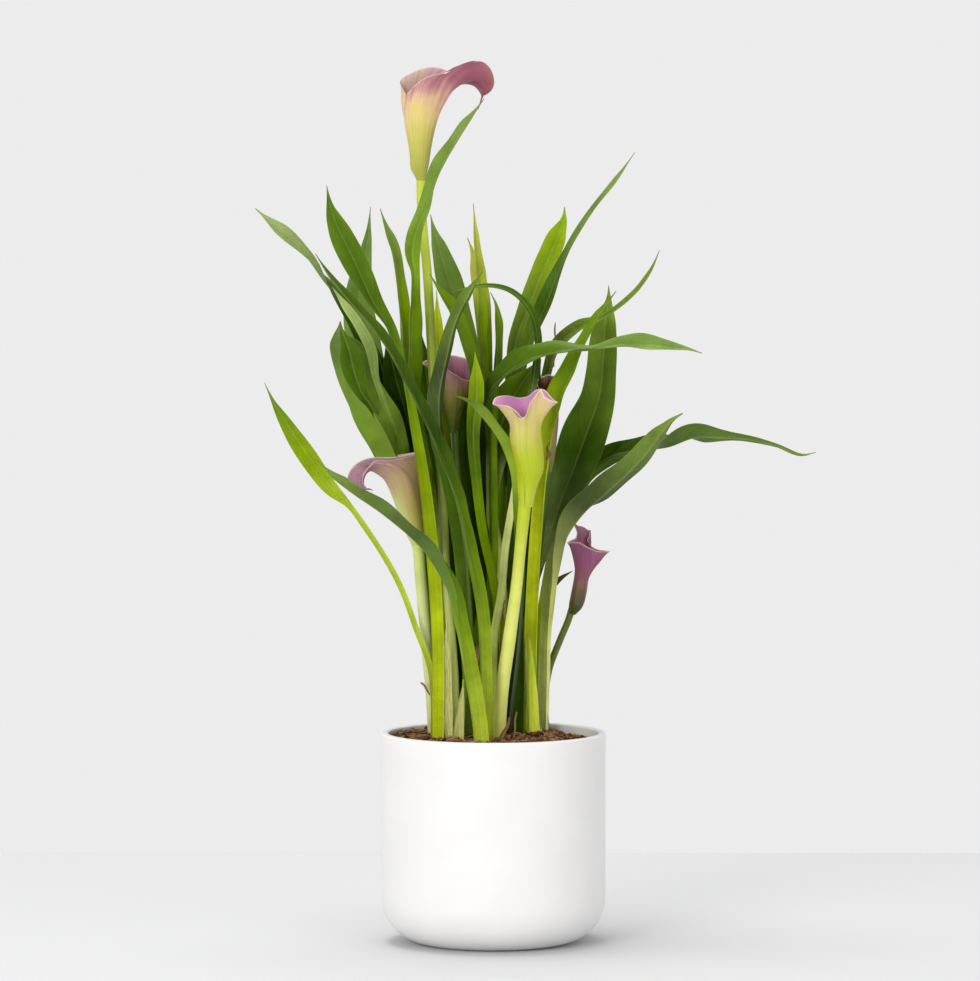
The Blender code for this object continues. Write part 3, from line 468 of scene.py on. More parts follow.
@dataclass(frozen=True)
class LeafFinish:
    """Living calla leaf: a smooth waxy skin over soft green tissue.

    The skin gives a satin sheen, the tissue lets a little light through, and fine veins leave the
    midrib at a low angle and run to the margin. The lower face is paler and duller, and the stalk is
    finely ribbed, with pale flecks near the soil. The leaf's green is a colour on its points, and it
    holds painted shade on parts deep in the clump and painted light and sheen on lit parts.
    Side veins, ribs and flecks are drawn about twice as coarse as real ones, which are too fine to
    show. Sizes are in millimetres.

    name: Name of the material.
    vein: Colour of the midrib, veins and margin.
    tip: Colour of the last millimetres.
    sheen: Colour of the skin's sheen.
    vein_step: Distance between side veins.
    rib_step: Distance between the stalk's ribs.
    blotch: Size of the darker and paler patches.
    fleck: Size of the flecks.
    gloss: Roughness of the upper face.
    """

    name: str = "waxy_calla_leaf"
    vein: str = "8FA35A"
    tip: str = "6E5A34"
    sheen: str = "BCD858"
    vein_step: float = 1.5
    rib_step: float = 0.67
    blotch: float = 18.2
    fleck: float = 0.77
    gloss: float = 0.42

    def make(self) -> bpy.types.Material:
        """Build the material.

        Returns:
            The material.
        """
        g = Graph(bpy.data.materials.new(self.name))
        across, along, blade = g.mark("sheet")
        under, share, edge = g.mark("look")
        # The leaf's green read from its points, with painted shade and light in it.
        tint = g.add("Attribute", {}, attribute_name="tint")["Color"]
        place = g.add("TexCoord", {})["Object"]
        far = g.add("Math", {0: across}, operation="ABSOLUTE")[0]

        pale = g.add("Mix", {0: 0.10, 6: tint, 7: linear("A4B080")}, data_type="RGBA")[2]
        below = g.add("Math", {0: under, 1: blade}, operation="MULTIPLY")[0]
        colour = g.add("Mix", {0: below, 6: tint, 7: pale}, data_type="RGBA")[2]

        slant = g.add("Math", {0: far, 1: -2.2, 2: along}, operation="MULTIPLY_ADD")[0]
        side_veins = g.add("TexNoise", {"W": slant, "Scale": 1.0 / self.vein_step, "Detail": 1.0},
                           noise_dimensions="1D")["Fac"]
        lines = g.add("TexNoise", {"W": across, "Scale": 1.0 / self.rib_step, "Detail": 3.0},
                      noise_dimensions="1D")["Fac"]
        vein_mix = g.add("Mix", {0: blade, 2: lines, 3: side_veins}, data_type="FLOAT")[0]
        veins = g.add("MapRange", {"Value": vein_mix, "From Min": 0.50, "From Max": 0.66, "To Max": 0.10})[0]
        midrib = g.add("MapRange", {
            "Value": far, "From Min": 0.2, "From Max": 0.8, "To Min": 0.30, "To Max": 0.0})[0]
        margin = g.add("MapRange", {"Value": edge, "From Min": 0.95, "To Max": 0.22})[0]
        drawn = g.add("Math", {0: midrib, 1: margin}, operation="MAXIMUM")[0]
        drawn = g.add("Math", {0: drawn, 1: veins}, operation="MAXIMUM")[0]
        drawn = g.add("Math", {0: drawn, 1: blade}, operation="MULTIPLY")[0]
        colour = g.add("Mix", {0: drawn, 6: colour, 7: linear(self.vein)}, data_type="RGBA")[2]

        mottle = g.add("TexNoise", {
            "Vector": place, "Scale": per_metre(self.blotch), "Detail": 4.0, "Roughness": 0.55})["Fac"]
        stripes = g.add("MapRange", {
            "Value": lines, "From Min": 0.35, "From Max": 0.65, "To Min": 0.90, "To Max": 1.10})[0]
        blotch = g.add("MapRange", {
            "Value": mottle, "From Min": 0.3, "From Max": 0.7, "To Min": 0.80, "To Max": 1.20})[0]
        light = g.add("Math", {0: stripes, 1: blotch}, operation="MULTIPLY")[0]
        colour = g.add("Mix", {0: 1.0, 6: colour, 7: light}, data_type="RGBA", blend_type="MULTIPLY")[2]

        specks = g.add("TexNoise", {"Vector": place, "Scale": per_metre(self.fleck), "Detail": 1.0})["Fac"]
        fade = g.add("MapRange", {
            "Value": along, "From Min": 35.0, "From Max": 110.0, "To Min": 0.35, "To Max": 0.0})[0]
        specks = g.add("MapRange", {"Value": specks, "From Min": 0.58, "From Max": 0.70, "To Max": fade})[0]
        brighter = g.add("Math", {0: specks, 1: 1.0}, operation="ADD")[0]
        colour = g.add("Mix", {0: 1.0, 6: colour, 7: brighter}, data_type="RGBA", blend_type="MULTIPLY")[2]

        end = g.add("MapRange", {"Value": share, "From Min": 0.988})[0]
        colour = g.add("Mix", {0: end, 6: colour, 7: linear(self.tip)}, data_type="RGBA")[2]

        relief = g.add("Math", {0: vein_mix, 1: 0.25, 2: specks}, operation="MULTIPLY_ADD")[0]
        bump = g.add("Bump", {"Strength": 0.30, "Distance": 0.0004, "Height": relief})["Normal"]
        rough = g.add("MapRange", {"Value": below, "To Min": self.gloss, "To Max": 0.58})[0]
        return g.finish({
            "Base Color": colour, "Roughness": rough, "Normal": bump, "IOR": 1.40,
            "Specular IOR Level": 0.30, "Specular Tint": linear(self.sheen), "Subsurface Weight": 0.05,
            "Subsurface Radius": (0.6, 1.0, 0.2), "Subsurface Scale": 0.002})


@dataclass(frozen=True)
class ScapeFinish:
    """Living flower stalk: a round, finely ribbed, satin stem that pales towards the soil.

    name: Name of the material.
    foot: Colour at the soil.
    middle: Colour at half its height.
    top: Colour under the flower.
    rib_step: Distance between ribs in millimetres, coarser than real ones so that they show.
    blotch: Size of the darker and paler patches in millimetres.
    """

    name: str
    foot: str
    middle: str
    top: str
    rib_step: float = 0.71
    blotch: float = 14.3

    def make(self) -> bpy.types.Material:
        """Build the material.

        Returns:
            The material.
        """
        g = Graph(bpy.data.materials.new(self.name))
        around, _, share = g.mark("sheet")
        place = g.add("TexCoord", {})["Object"]
        colour = g.add("ValToRGB", {"Fac": share},
                       stops=[(0.05, self.foot), (0.90, self.top), (0.55, self.middle)])["Color"]
        ribs = g.add("TexNoise", {"W": around, "Scale": 1.0 / self.rib_step, "Detail": 2.0},
                     noise_dimensions="1D")["Fac"]
        mottle = g.add("TexNoise", {"Vector": place, "Scale": per_metre(self.blotch), "Detail": 3.0})["Fac"]
        both = g.add("Math", {0: ribs, 1: mottle}, operation="ADD")[0]
        light = g.add("MapRange", {
            "Value": both, "From Min": 0.7, "From Max": 1.3, "To Min": 0.86, "To Max": 1.10})[0]
        colour = g.add("Mix", {0: 1.0, 6: colour, 7: light}, data_type="RGBA", blend_type="MULTIPLY")[2]
        bump = g.add("Bump", {"Strength": 0.3, "Distance": 0.0004, "Height": ribs})["Normal"]
        return g.finish({
            "Base Color": colour, "Roughness": 0.42, "Normal": bump, "IOR": 1.42,
            "Subsurface Weight": 0.12, "Subsurface Radius": (0.8, 1.0, 0.3), "Subsurface Scale": 0.003})


@dataclass(frozen=True)
class SpatheFinish:
    """Calla flower sheet: thick satin petal tissue with fine veins that run lengthwise.

    Its colour passes from the stalk's lime through yellow to plum, the veins are darker than the
    tissue between them near the edge, and the turned edge itself is pale. Veins are drawn somewhat
    coarser than real ones so that they show.

    name: Name of the material.
    outside: Distance from the collar in millimetres and colour there, on the outer face.
    inside: The same for the inner face.
    vein: Colour of the veins.
    keel: Colour of the middle line under the lip, near the collar.
    veins_from: Distance at which the veins start to show.
    vein_depth: How strongly they show.
    edge: Colour of the turned edge.

    In millimetres, REACH is the length that the colours are laid out on, PATCH and STREAK are the
    sizes of the unevenness between them, and VEIN_STEP is the distance between veins.
    """

    name: str
    outside: tuple[tuple[float, str], ...]
    inside: tuple[tuple[float, str], ...]
    vein: str
    keel: str
    veins_from: float
    vein_depth: float = 0.45
    edge: str = "E4CDB4"

    REACH = 110.0
    PATCH = 16.7
    STREAK = 2.2
    VEIN_STEP = 0.77

    def make(self) -> bpy.types.Material:
        """Build the material.

        Returns:
            The material.
        """
        g = Graph(bpy.data.materials.new(self.name))
        around, distance, share = g.mark("sheet")
        inner, turn, rim = g.mark("look")
        place = g.add("TexCoord", {})["Object"]
        patch = g.add("TexNoise", {"Vector": place, "Scale": per_metre(self.PATCH), "Detail": 3.0})["Fac"]
        streak = g.add("TexNoise", {"W": around, "Scale": 1.0 / self.STREAK, "Detail": 2.0},
                       noise_dimensions="1D")["Fac"]
        both = g.add("Math", {0: patch, 1: streak}, operation="ADD")[0]
        drift = g.add("MapRange", {
            "Value": both, "From Min": 0.7, "From Max": 1.3, "To Min": -9.0, "To Max": 9.0})[0]
        moved = g.add("Math", {0: distance, 1: drift}, operation="ADD")[0]
        reach = g.add("Math", {0: moved, 1: self.REACH}, operation="DIVIDE")[0]
        faces = []
        for table in (self.outside, self.inside):
            stops = [(at / self.REACH, code) for at, code in table]
            stops = [stops[0], stops[-1]] + stops[1:-1]
            faces.append(g.add("ValToRGB", {"Fac": reach}, stops=stops)["Color"])
        low = g.add("MapRange", {
            "Value": moved, "From Min": 22.0, "From Max": 52.0, "To Min": 1.0, "To Max": 0.0})[0]
        near = g.add("MapRange", {
            "Value": turn, "From Min": 0.10, "From Max": 0.42, "To Min": 0.9, "To Max": 0.0})[0]
        keel = g.add("Math", {0: low, 1: near}, operation="MULTIPLY")[0]
        outer = g.add("Mix", {0: keel, 6: faces[0], 7: linear(self.keel)}, data_type="RGBA")[2]
        colour = g.add("Mix", {0: inner, 6: outer, 7: faces[1]}, data_type="RGBA")[2]

        fine = g.add("TexNoise", {"W": around, "Scale": 1.0 / self.VEIN_STEP, "Detail": 3.0,
                                  "Roughness": 0.6}, noise_dimensions="1D")["Fac"]
        lines = g.add("MapRange", {"Value": fine, "From Min": 0.50, "From Max": 0.64})[0]
        start = g.add("MapRange", {"Value": distance, "From Min": self.veins_from,
                                   "From Max": self.veins_from + 22.0, "To Max": self.vein_depth})[0]
        veins = g.add("Math", {0: lines, 1: start}, operation="MULTIPLY")[0]
        colour = g.add("Mix", {0: veins, 6: colour, 7: linear(self.vein)}, data_type="RGBA")[2]
        ribs = g.add("MapRange", {
            "Value": fine, "From Min": 0.3, "From Max": 0.7, "To Min": 0.90, "To Max": 1.08})[0]
        colour = g.add("Mix", {0: 1.0, 6: colour, 7: ribs}, data_type="RGBA", blend_type="MULTIPLY")[2]
        pale = g.add("MapRange", {"Value": rim, "From Max": 0.7, "To Min": 0.85, "To Max": 0.0})[0]
        colour = g.add("Mix", {0: pale, 6: colour, 7: linear(self.edge)}, data_type="RGBA")[2]
        bump = g.add("Bump", {"Strength": 0.35, "Distance": 0.0003, "Height": fine})["Normal"]
        return g.finish({
            "Base Color": colour, "Roughness": 0.46, "Normal": bump, "IOR": 1.40,
            "Subsurface Weight": 0.16, "Subsurface Radius": (1.0, 0.7, 0.4), "Subsurface Scale": 0.003})


@dataclass(frozen=True)
class ClubFinish:
    """Flower club: packed tiny florets, matt and yellow, which give a fine pebbled grain.

    name: Name of the material.
    floret: Width of a floret in millimetres.
    """

    name: str = "pollen_yellow_florets"
    floret: float = 0.91

    def make(self) -> bpy.types.Material:
        """Build the material.

        Returns:
            The material.
        """
        g = Graph(bpy.data.materials.new(self.name))
        place = g.add("TexCoord", {})["Object"]
        grain = g.add("TexVoronoi", {"Vector": place, "Scale": per_metre(self.floret)})["Distance"]
        colour = g.add("ValToRGB", {"Fac": grain}, stops=[(0.0, "F0CF5A"), (0.8, "A87A22")])["Color"]
        bump = g.add("Bump", {"Strength": 0.8, "Distance": 0.0004, "Height": grain}, invert=True)["Normal"]
        return g.finish({"Base Color": colour, "Roughness": 0.75, "Normal": bump})


@dataclass(frozen=True)
class DryFinish:
    """Dead leaf tissue: thin, fibrous and papery, with brown streaks lengthwise.

    name: Name of the material.
    light: Colour of the clean parts.
    dark: Colour of the streaks.
    clean: Share of the surface that is clean.
    fibre: Width of a streak in millimetres; it runs a dozen times as far lengthwise.
    """

    name: str
    light: str
    dark: str
    clean: float = 0.38
    fibre: float = 0.91

    def make(self) -> bpy.types.Material:
        """Build the material.

        Returns:
            The material.
        """
        g = Graph(bpy.data.materials.new(self.name))
        across, along, _ = g.mark("sheet")
        slow = g.add("Math", {0: along, 1: 0.08}, operation="MULTIPLY")[0]
        stretched = g.add("CombineXYZ", {0: across, 1: slow})[0]
        streaks = g.add("TexNoise", {
            "Vector": stretched, "Scale": 1.0 / self.fibre, "Detail": 5.0, "Roughness": 0.65})["Fac"]
        colour = g.add("ValToRGB", {"Fac": streaks},
                       stops=[(self.clean, self.light), (self.clean + 0.25, self.dark)])["Color"]
        bump = g.add("Bump", {"Strength": 0.6, "Distance": 0.0004, "Height": streaks})["Normal"]
        return g.finish({"Base Color": colour, "Roughness": 0.8, "Normal": bump})


@dataclass(frozen=True)
class EarthFinish:
    """Damp peat and bark: matt, dark and fibrous, each bit of its own brown.

    name: Name of the material.
    dark: Colour of the darkest bits.
    middle: Colour of most bits.
    light: Colour of the palest bits.
    grain: Size of the finest grains in millimetres.
    patch: Size of the lighter and darker patches in millimetres.
    """

    name: str
    dark: str
    middle: str
    light: str
    grain: float = 0.9
    patch: float = 5.9

    def make(self) -> bpy.types.Material:
        """Build the material.

        Returns:
            The material.
        """
        g = Graph(bpy.data.materials.new(self.name))
        shade, _, _ = g.mark("look")
        place = g.add("TexCoord", {})["Object"]
        grain = g.add("TexNoise", {
            "Vector": place, "Scale": per_metre(self.grain), "Detail": 4.0, "Roughness": 0.7})["Fac"]
        patch = g.add("TexNoise", {"Vector": place, "Scale": per_metre(self.patch), "Detail": 3.0})["Fac"]
        both = g.add("Math", {0: grain, 1: patch}, operation="ADD")[0]
        value = g.add("Math", {0: both, 1: 0.45, 2: shade}, operation="MULTIPLY_ADD")[0]
        colour = g.add("ValToRGB", {"Fac": value},
                       stops=[(0.25, self.dark), (0.95, self.light), (0.58, self.middle)])["Color"]
        bump = g.add("Bump", {"Strength": 0.9, "Distance": 0.0008, "Height": grain})["Normal"]
        return g.finish({"Base Color": colour, "Roughness": 0.92, "Normal": bump, "IOR": 1.35})


@dataclass(frozen=True)
class GlazeFinish:
    """Slip-cast earthenware under a satin white glaze.

    The glaze gives soft broad highlights and the faint unevenness of a dipped surface.

    name: Name of the material.
    pool: Width in millimetres of the places where the glaze ran together.
    pinch: Width in millimetres of the fine unevenness of its skin.
    """

    name: str = "satin_white_glaze"
    pool: float = 36.0
    pinch: float = 2.4

    def make(self) -> bpy.types.Material:
        """Build the material.

        Returns:
            The material.
        """
        g = Graph(bpy.data.materials.new(self.name))
        place = g.add("TexCoord", {})["Object"]
        pool = g.add("TexNoise", {"Vector": place, "Scale": per_metre(self.pool), "Detail": 2.0})["Fac"]
        colour = g.add("ValToRGB", {"Fac": pool}, stops=[(0.3, "E0DFDE"), (0.7, "E4E3E2")])["Color"]
        skin = g.add("TexNoise", {"Vector": place, "Scale": per_metre(self.pinch), "Detail": 2.0})["Fac"]
        height = g.add("Math", {0: skin, 1: 0.3, 2: pool}, operation="MULTIPLY_ADD")[0]
        bump = g.add("Bump", {"Strength": 0.06, "Distance": 0.0006, "Height": height})["Normal"]
        rough = g.add("MapRange", {"Value": skin, "To Min": 0.34, "To Max": 0.46})[0]
        return g.finish({"Base Color": colour, "Roughness": rough, "Normal": bump, "IOR": 1.50})


@dataclass(frozen=True)
class MattFinish:
    """A plain matt surface of the studio, as of painted board, which shows only soft shadows.

    name: Name of the material.
    colour: Its colour.
    """

    name: str
    colour: str

    def make(self) -> bpy.types.Material:
        """Build the material.

        Returns:
            The material.
        """
        g = Graph(bpy.data.materials.new(self.name))
        return g.finish({"Base Color": linear(self.colour), "Roughness": 0.9, "Specular IOR Level": 0.1})


FLOWER_LOOKS = {
    "tall": (
        # The tall stalk darkens to olive in the middle: partly its own olive, partly painted shade from the
        # leaves across it.
        ScapeFinish("stalk_tall_flower", "BCC468", "64780E", "C0D03C"),
        SpatheFinish(
            "petal_tall_flower",
            ((0, "A8AC34"), (10, "B0AE4C"), (28, "C6BC5E"), (39, "DAC47A"), (47, "D8B48E"),
             (55, "C08E88"), (63, "A46A78"), (73, "8E5066"), (88, "803E54")),
            ((0, "A8AC50"), (36, "A89C70"), (48, "C0A898"), (64, "C49CA8"), (84, "A87888"),
             (92, "64502C")),
            "7A3A58", "8C8A26", 38)),
    "left": (
        ScapeFinish("stalk_left_flower", "BEC470", "D2D69C", "C2CE70"),
        SpatheFinish(
            "petal_left_flower",
            ((0, "B6BE44"), (9, "B0A84A"), (18, "B0A054"), (36, "B49E5E"), (50, "B09070"),
             (60, "A47888"), (80, "92587A")),
            ((0, "989440"), (32, "8C6C48"), (44, "A07C88"), (58, "A47C8C"), (75, "946880")),
            "6E3C58", "BCCC84", 32)),
    "yellow": (
        ScapeFinish("stalk_yellow_flower", "D8DC70", "DCE072", "B8C622"),
        SpatheFinish(
            "petal_yellow_flower",
            ((0, "B8C82C"), (18, "A8BA10"), (30, "B0BA20"), (42, "BABC3E"), (52, "C6BC62"),
             (60, "D0B486"), (70, "D2A08E")),
            ((0, "C8CC60"), (46, "C890A0"), (68, "C880B4")),
            "A87494", "A8B81C", 48, 0.25, "EFE0BC")),
    "small": (
        ScapeFinish("stalk_small_flower", "566718", "5C6A18", "5A671C"),
        SpatheFinish(
            "petal_small_flower",
            ((0, "46461E"), (10, "5A4A30"), (20, "7A5648"), (30, "8E5068"), (40, "92507A"),
             (50, "84487A")),
            ((0, "7A6A40"), (50, "8C5078")),
            "56283E", "54502A", 14)),
    "back_mid": (
        ScapeFinish("stalk_back_mid_flower", "3A500A", "5C7410", "486010"),
        SpatheFinish(
            "petal_back_mid_flower",
            ((0, "3E4C10"), (10, "5E6A14"), (20, "807A22"), (32, "A0825A"), (46, "A46C82")),
            ((0, "7A6A40"), (34, "A06C80"), (50, "A86C8C")),
            "4E2A3C", "4A5A1A", 16)),
    "back_right": (
        ScapeFinish("stalk_back_right_flower", "7A9030", "5A7822", "4A6A14"),
        SpatheFinish(
            "petal_back_right_flower",
            ((0, "7A7A3C"), (28, "94805A"), (48, "7A5860")),
            ((0, "2E1214"), (46, "3A161C"), (58, "6E4048")),
            "4E2A3C", "6A6A34", 16)),
}


@dataclass(frozen=True)
class Leaf:
    """One leaf: a grooved stalk from the soil that opens into a folded, pointed blade.

    greens: Colours at the soil, high on the stalk, in the blade and near its tip; darker ones are
    painted shade deep in the clump, and brighter or greyer ones are painted light and sheen.
    blade: Route point at which the stalk turns into the blade.
    fold: How far each half of the blade rises from the flat, in degrees.
    route: x, y, z, width and roll of each point; a roll of 0 shows the upper face to -Y.
    """

    greens: tuple[Green, Green, Green, Green]
    blade: int
    fold: float
    route: Sequence[Point]

    STEP = 3.2
    ACROSS = 14
    THIN = 0.36
    POINTED = 20.0
    TIP_WIDTH = 0.35
    WAVE = 0.07
    RIB_WIDTH = 0.9
    RIB_DEPTH = 0.75

    def surface(self, seed: int) -> Surface:
        """The leaf's closed surface, a section carried along the route.

        The section blends from the stalk's to the blade's with the blade share. With a from -1 to 1
        across, the stalk's upper face is a shallow groove, 0.20 + 0.14 a squared, and its lower face a
        round keel, 0.34 less 1.20 times the cosine of a quarter turn times a to the power 0.8, in half
        widths. The blade is a V whose halves bow a little: the sine of the fold times |a|, rounded at
        the middle, plus 0.07 sin(pi |a|). Its margin waves along the leaf, a round rib runs under its
        middle, and its end is drawn out thin.

        Args:
            seed: Seed of the waves.

        Returns:
            The surface with its marks: across, along and blade share; lower face, share and |a|.
        """
        foot = self.route[0]
        route = [(foot[0], foot[1], STALK_FOOT, *foot[3:]), *self.route]
        turn_at = self.blade + 1
        grades = [0.0 if i < turn_at else 0.5 if i == turn_at else 1.0 for i in range(len(route))]
        table = np.array([(*point, grade) for point, grade in zip(route, grades)])
        stations, distance = even_stations(route, self.STEP)
        values = route_curve(table, stations)
        places, roll = values[:, :3], np.radians(values[:, 4])
        blade = np.clip(values[:, 5], 0.0, 1.0)[:, None]
        slim = 0.3 + 0.7 * np.clip((distance[-1] - distance) / self.POINTED, 0.0, 1.0)
        half = np.maximum(values[:, 3] * slim, self.TIP_WIDTH)[:, None] / 2.0
        sideways, upward = turned(*route_frames(places), roll)

        a = np.linspace(-1.0, 1.0, self.ACROSS + 1)
        low = a[::-1] * 0.985
        grooved = 0.20 + 0.14 * a ** 2
        keeled = 0.34 - 1.20 * np.cos(math.pi / 2.0 * low) ** 0.8
        stalk_side = 0.92 * np.sin(math.pi / 2.0 * np.concatenate([a, low]))
        stalk_rise = np.concatenate([grooved, keeled])

        both = np.concatenate([a, a[::-1]])
        reach = np.abs(both)
        slope = math.radians(self.fold)
        valley = np.sqrt(reach ** 2 + 0.004) - 0.06
        bowed = math.sin(slope) * valley + 0.07 * np.sin(math.pi * reach)
        generator = np.random.default_rng(seed)
        phase = generator.uniform(0.0, math.tau, 4)
        length = generator.uniform(26.0, 40.0)
        left = np.sin(distance / length * math.tau + phase[0]) + 0.5 * np.sin(distance / 13.0 + phase[1])
        right = np.sin(distance / length * math.tau + phase[2]) + 0.5 * np.sin(distance / 13.0 + phase[3])
        wave = np.where(both < 0.0, left[:, None], right[:, None]) * reach ** 2 * self.WAVE
        under = np.concatenate([np.zeros(len(a)), np.ones(len(a))])
        rib = np.exp(-(both * half / self.RIB_WIDTH) ** 2) * np.minimum(self.RIB_DEPTH, 0.12 * half)
        thick = self.THIN * (1.0 - 0.35 * reach)
        skin = np.where(under > 0.5, -thick / 2.0 - rib, thick / 2.0)
        blade_side = math.cos(slope) * both
        side = half * (stalk_side * (1.0 - blade) + blade_side * blade)
        rise = half * (stalk_rise * (1.0 - blade) + (bowed + wave) * blade) + skin * blade
        rings = places[:, None] + side[..., None] * sideways[:, None] + rise[..., None] * upward[:, None]

        along = distance[:, None]
        return tube_surface(rings, {
            "sheet": stacked(both * half, along, blade),
            "look": stacked(under, along / distance[-1], reach),
            "tint": np.broadcast_to(self.tint(distance, stations, turn_at)[:, None], rings.shape)})

    def tint(self, distance: Array, stations: Array, turn_at: int) -> Array:
        """Colour along the leaf, painted shade and light included, blended softly between its four greens.

        They hold 30 mm up, 25 mm under the blade, and at 35 and 88 per cent of the blade's length.

        Args:
            distance: Distance of each station from the foot.
            stations: The stations, counted in route points.
            turn_at: Route point at which the stalk turns into the blade.

        Returns:
            A linear colour for each station.
        """
        total = distance[-1]
        start = float(np.interp(turn_at, stations, distance))
        places = [30.0, start - 25.0, start + 0.35 * (total - start), start + 0.88 * (total - start)]
        colours = zip(*(linear(green.value)[:3] for green in self.greens))
        return stacked(*(np.interp(distance, places, values) for values in colours))


@dataclass(frozen=True)
class Flower:
    """A flower's stalk, the sheet that is wrapped round its top and the club inside.

    stalk: x, y, z and diameter of each route point, from the soil up.
    axis: Direction in which the tube of the sheet opens.
    tip: Direction to which its lip bends over.
    seam: Length of the sheet at the seam.
    lip: Its length at the lip opposite.
    point: Length of the lip's pointed end.
    spadix: Height of the club inside.
    tube: Distance along the sheet and radius of the tube there, as points.
    bends: Distance along the lip's middle line and its angle to the axis there, as points.
    notch: Depth of the V cut between the lobes at the seam.
    rim: Angle from the tip in degrees, and the edge's place there from the stalk's end, as points.
    sway: Share of the height, and how far the tube stands off its line there, as points.
    collar: Height of the collar over the stalk's end.
    turn_out: Share of the height from which the sheet leaves its plain form for the rim.
    thread: Length of the dried thread at the lip's point, or 0.
    over: 1 where the edge at positive angles lies outside the other, and -1 where it lies inside.
    """

    stalk: Sequence[Point]
    axis: Point
    tip: Point
    seam: float
    lip: float
    point: float
    spadix: float
    tube: Sequence[Point]
    bends: Sequence[Point]
    notch: float = 0.0
    rim: Sequence[Point] = ()
    sway: Sequence[Point] = ((0.0, 0.0, 0.0, 0.0), (1.0, 0.0, 0.0, 0.0))
    collar: float = -4.0
    turn_out: float = 0.3
    thread: float = 0.0
    over: int = 1

    STEP = 3.0
    STALK_SIDES = 24
    COLUMNS = 141
    ROWS = 72
    OPENING = 0.03
    LAP = 0.45
    LAP_GAP = 1.1
    GIRTH = 8.5
    TURNED = 3.2
    TURN_DEPTH = 0.9
    THREAD_RADIUS = 0.62

    def stalk_surface(self) -> Surface:
        """The round stalk: a circle with seven faint ribs, carried along the route.

        Returns:
            The surface with its mark: around, along and share.
        """
        foot = self.stalk[0]
        end, axis, _, _ = self.frame()
        head = end + axis * (self.collar + 8.0)
        route = [(foot[0], foot[1], STALK_FOOT, foot[3]), *self.stalk, (*head, self.stalk[-1][3] * 0.85)]
        stations, distance = even_stations(route, self.STEP)
        values = route_curve(route, stations)
        across, facing = route_frames(values[:, :3])
        turn = np.arange(self.STALK_SIDES) / self.STALK_SIDES * math.tau
        radius = values[:, 3:4] / 2.0 * (1.0 + 0.012 * np.cos(7.0 * turn))
        rings = circle_rings(values[:, :3], radius, self.STALK_SIDES, across, facing)
        around = radius * np.abs(turn - math.pi)
        along = distance[:, None]
        return tube_surface(rings, {"sheet": stacked(around, along, along / distance[-1])})

    def frame(self) -> tuple[Array, Array, Array, Array]:
        """Where the sheet stands and how it is turned.

        Returns:
            Place of the stalk's end, and the axis, tip and side directions.
        """
        end = np.array(self.stalk[-1][:3], float)
        axis = unit(np.array(self.axis, float))
        tip = np.array(self.tip, float)
        tip = unit(tip - axis * (tip @ axis))
        return end, axis, tip, np.cross(axis, tip)

    def length(self, angle: Array) -> Array:
        """Length of the sheet from the collar to its edge, at an angle from the tip.

        It passes from the lip to the seam with the cosine of the angle, gains the pointed end near
        the tip and loses the notch near the seam.

        Args:
            angle: Angle round the tube from the tip, in radians.

        Returns:
            The length at each angle.
        """
        away = np.minimum(np.abs(angle), math.pi)
        share = 0.5 + 0.5 * np.cos(away)
        body = self.seam + (self.lip - self.seam) * share ** 1.2
        pointed = self.point * np.clip(1.0 - away / 0.6, 0.0, 1.0) ** 2
        cut = self.notch * np.clip(1.0 - (math.pi - away) / 1.3, 0.0, 1.0)
        return body + pointed - cut

    def middle_line(self) -> tuple[Array, Array, Array, Array]:
        """The lip's middle line, summed from short steps at the angles of its bends.

        Returns:
            Distance along it, reach and height from the stalk's end, and angle to the axis.
        """
        bends = np.array(self.bends, float)
        along = np.linspace(0.0, bends[-1, 0], 321)
        tilt = np.radians(smooth_line(self.bends, along))
        step = along[1]
        reach = self.tube[0][1] + np.concatenate([[0.0], np.cumsum(np.sin(tilt[:-1]) * step)])
        height = np.concatenate([[0.0], np.cumsum(np.cos(tilt[:-1]) * step)]) + self.collar
        return along, reach, height, tilt

    def sheet_surface(self, seed: int) -> Surface:
        """The wrapped sheet, closed and thin, with lapped edges and a turned rim.

        Each point has an angle round the tube and a distance from the collar. The middle line gives
        the reach, height and tilt at that distance, and the tube its radius. The point stands on the
        tilted circle there and moves on with the rim and the sway. The inner face stands further out
        where it laps over the other edge, and the outer face lies one thickness beyond it. The last
        millimetres turn out as a lip, and the edge waves a little.

        Args:
            seed: Seed of the waves.

        Returns:
            The surface with its marks: around, distance and share; inner face, turn and rim distance.
        """
        end, axis, tip, side = self.frame()
        across = np.linspace(-1.0, 1.0, self.COLUMNS)
        shares = np.linspace(0.0, 1.0, self.ROWS) ** 0.9
        turn, share = np.meshgrid(np.sign(across) * np.abs(across) ** 1.15, shares, indexing="ij")
        angle = turn * (math.pi - self.OPENING + self.LAP * smoothstep((share - 0.15) / 0.3))
        length = self.length(angle)
        distance = share * length
        along, *line = self.middle_line()
        reach, height, tilt = (np.interp(distance, along, values) for values in line)
        radius = smooth_line(self.tube, distance)
        inward = radius * (np.cos(angle) - 1.0)
        out = reach + inward * np.cos(tilt)
        rise = height - inward * np.sin(tilt)
        sideways = radius * np.sin(angle)
        inner = end + out[..., None] * tip + rise[..., None] * axis + sideways[..., None] * side
        inner = inner + self.stand_off(inner - end, angle, share)

        normal = unit(np.cross(np.gradient(inner, axis=0), np.gradient(inner, axis=1)))
        around = angle * self.GIRTH
        wave = value_noise(around + 90.0, distance + 40.0, 9.0, seed) * 0.7 * share ** 3
        ribs = value_noise(around + 200.0, distance * 0.06, 1.5, seed + 1) * 0.08
        left = length - distance
        lip = np.clip(1.0 - left / self.TURNED, 0.0, 1.0) ** 2 * self.TURN_DEPTH
        loose = smoothstep(share / 0.15)
        spread = self.LAP_GAP * loose * (0.5 * self.over * turn + 0.5) + wave + ribs + lip
        inner = inner + normal * spread[..., None]
        thick = 0.16 + 0.44 * smoothstep(left / 10.0) * (1.0 - 0.3 * share) * loose
        outer = inner + normal * thick[..., None]

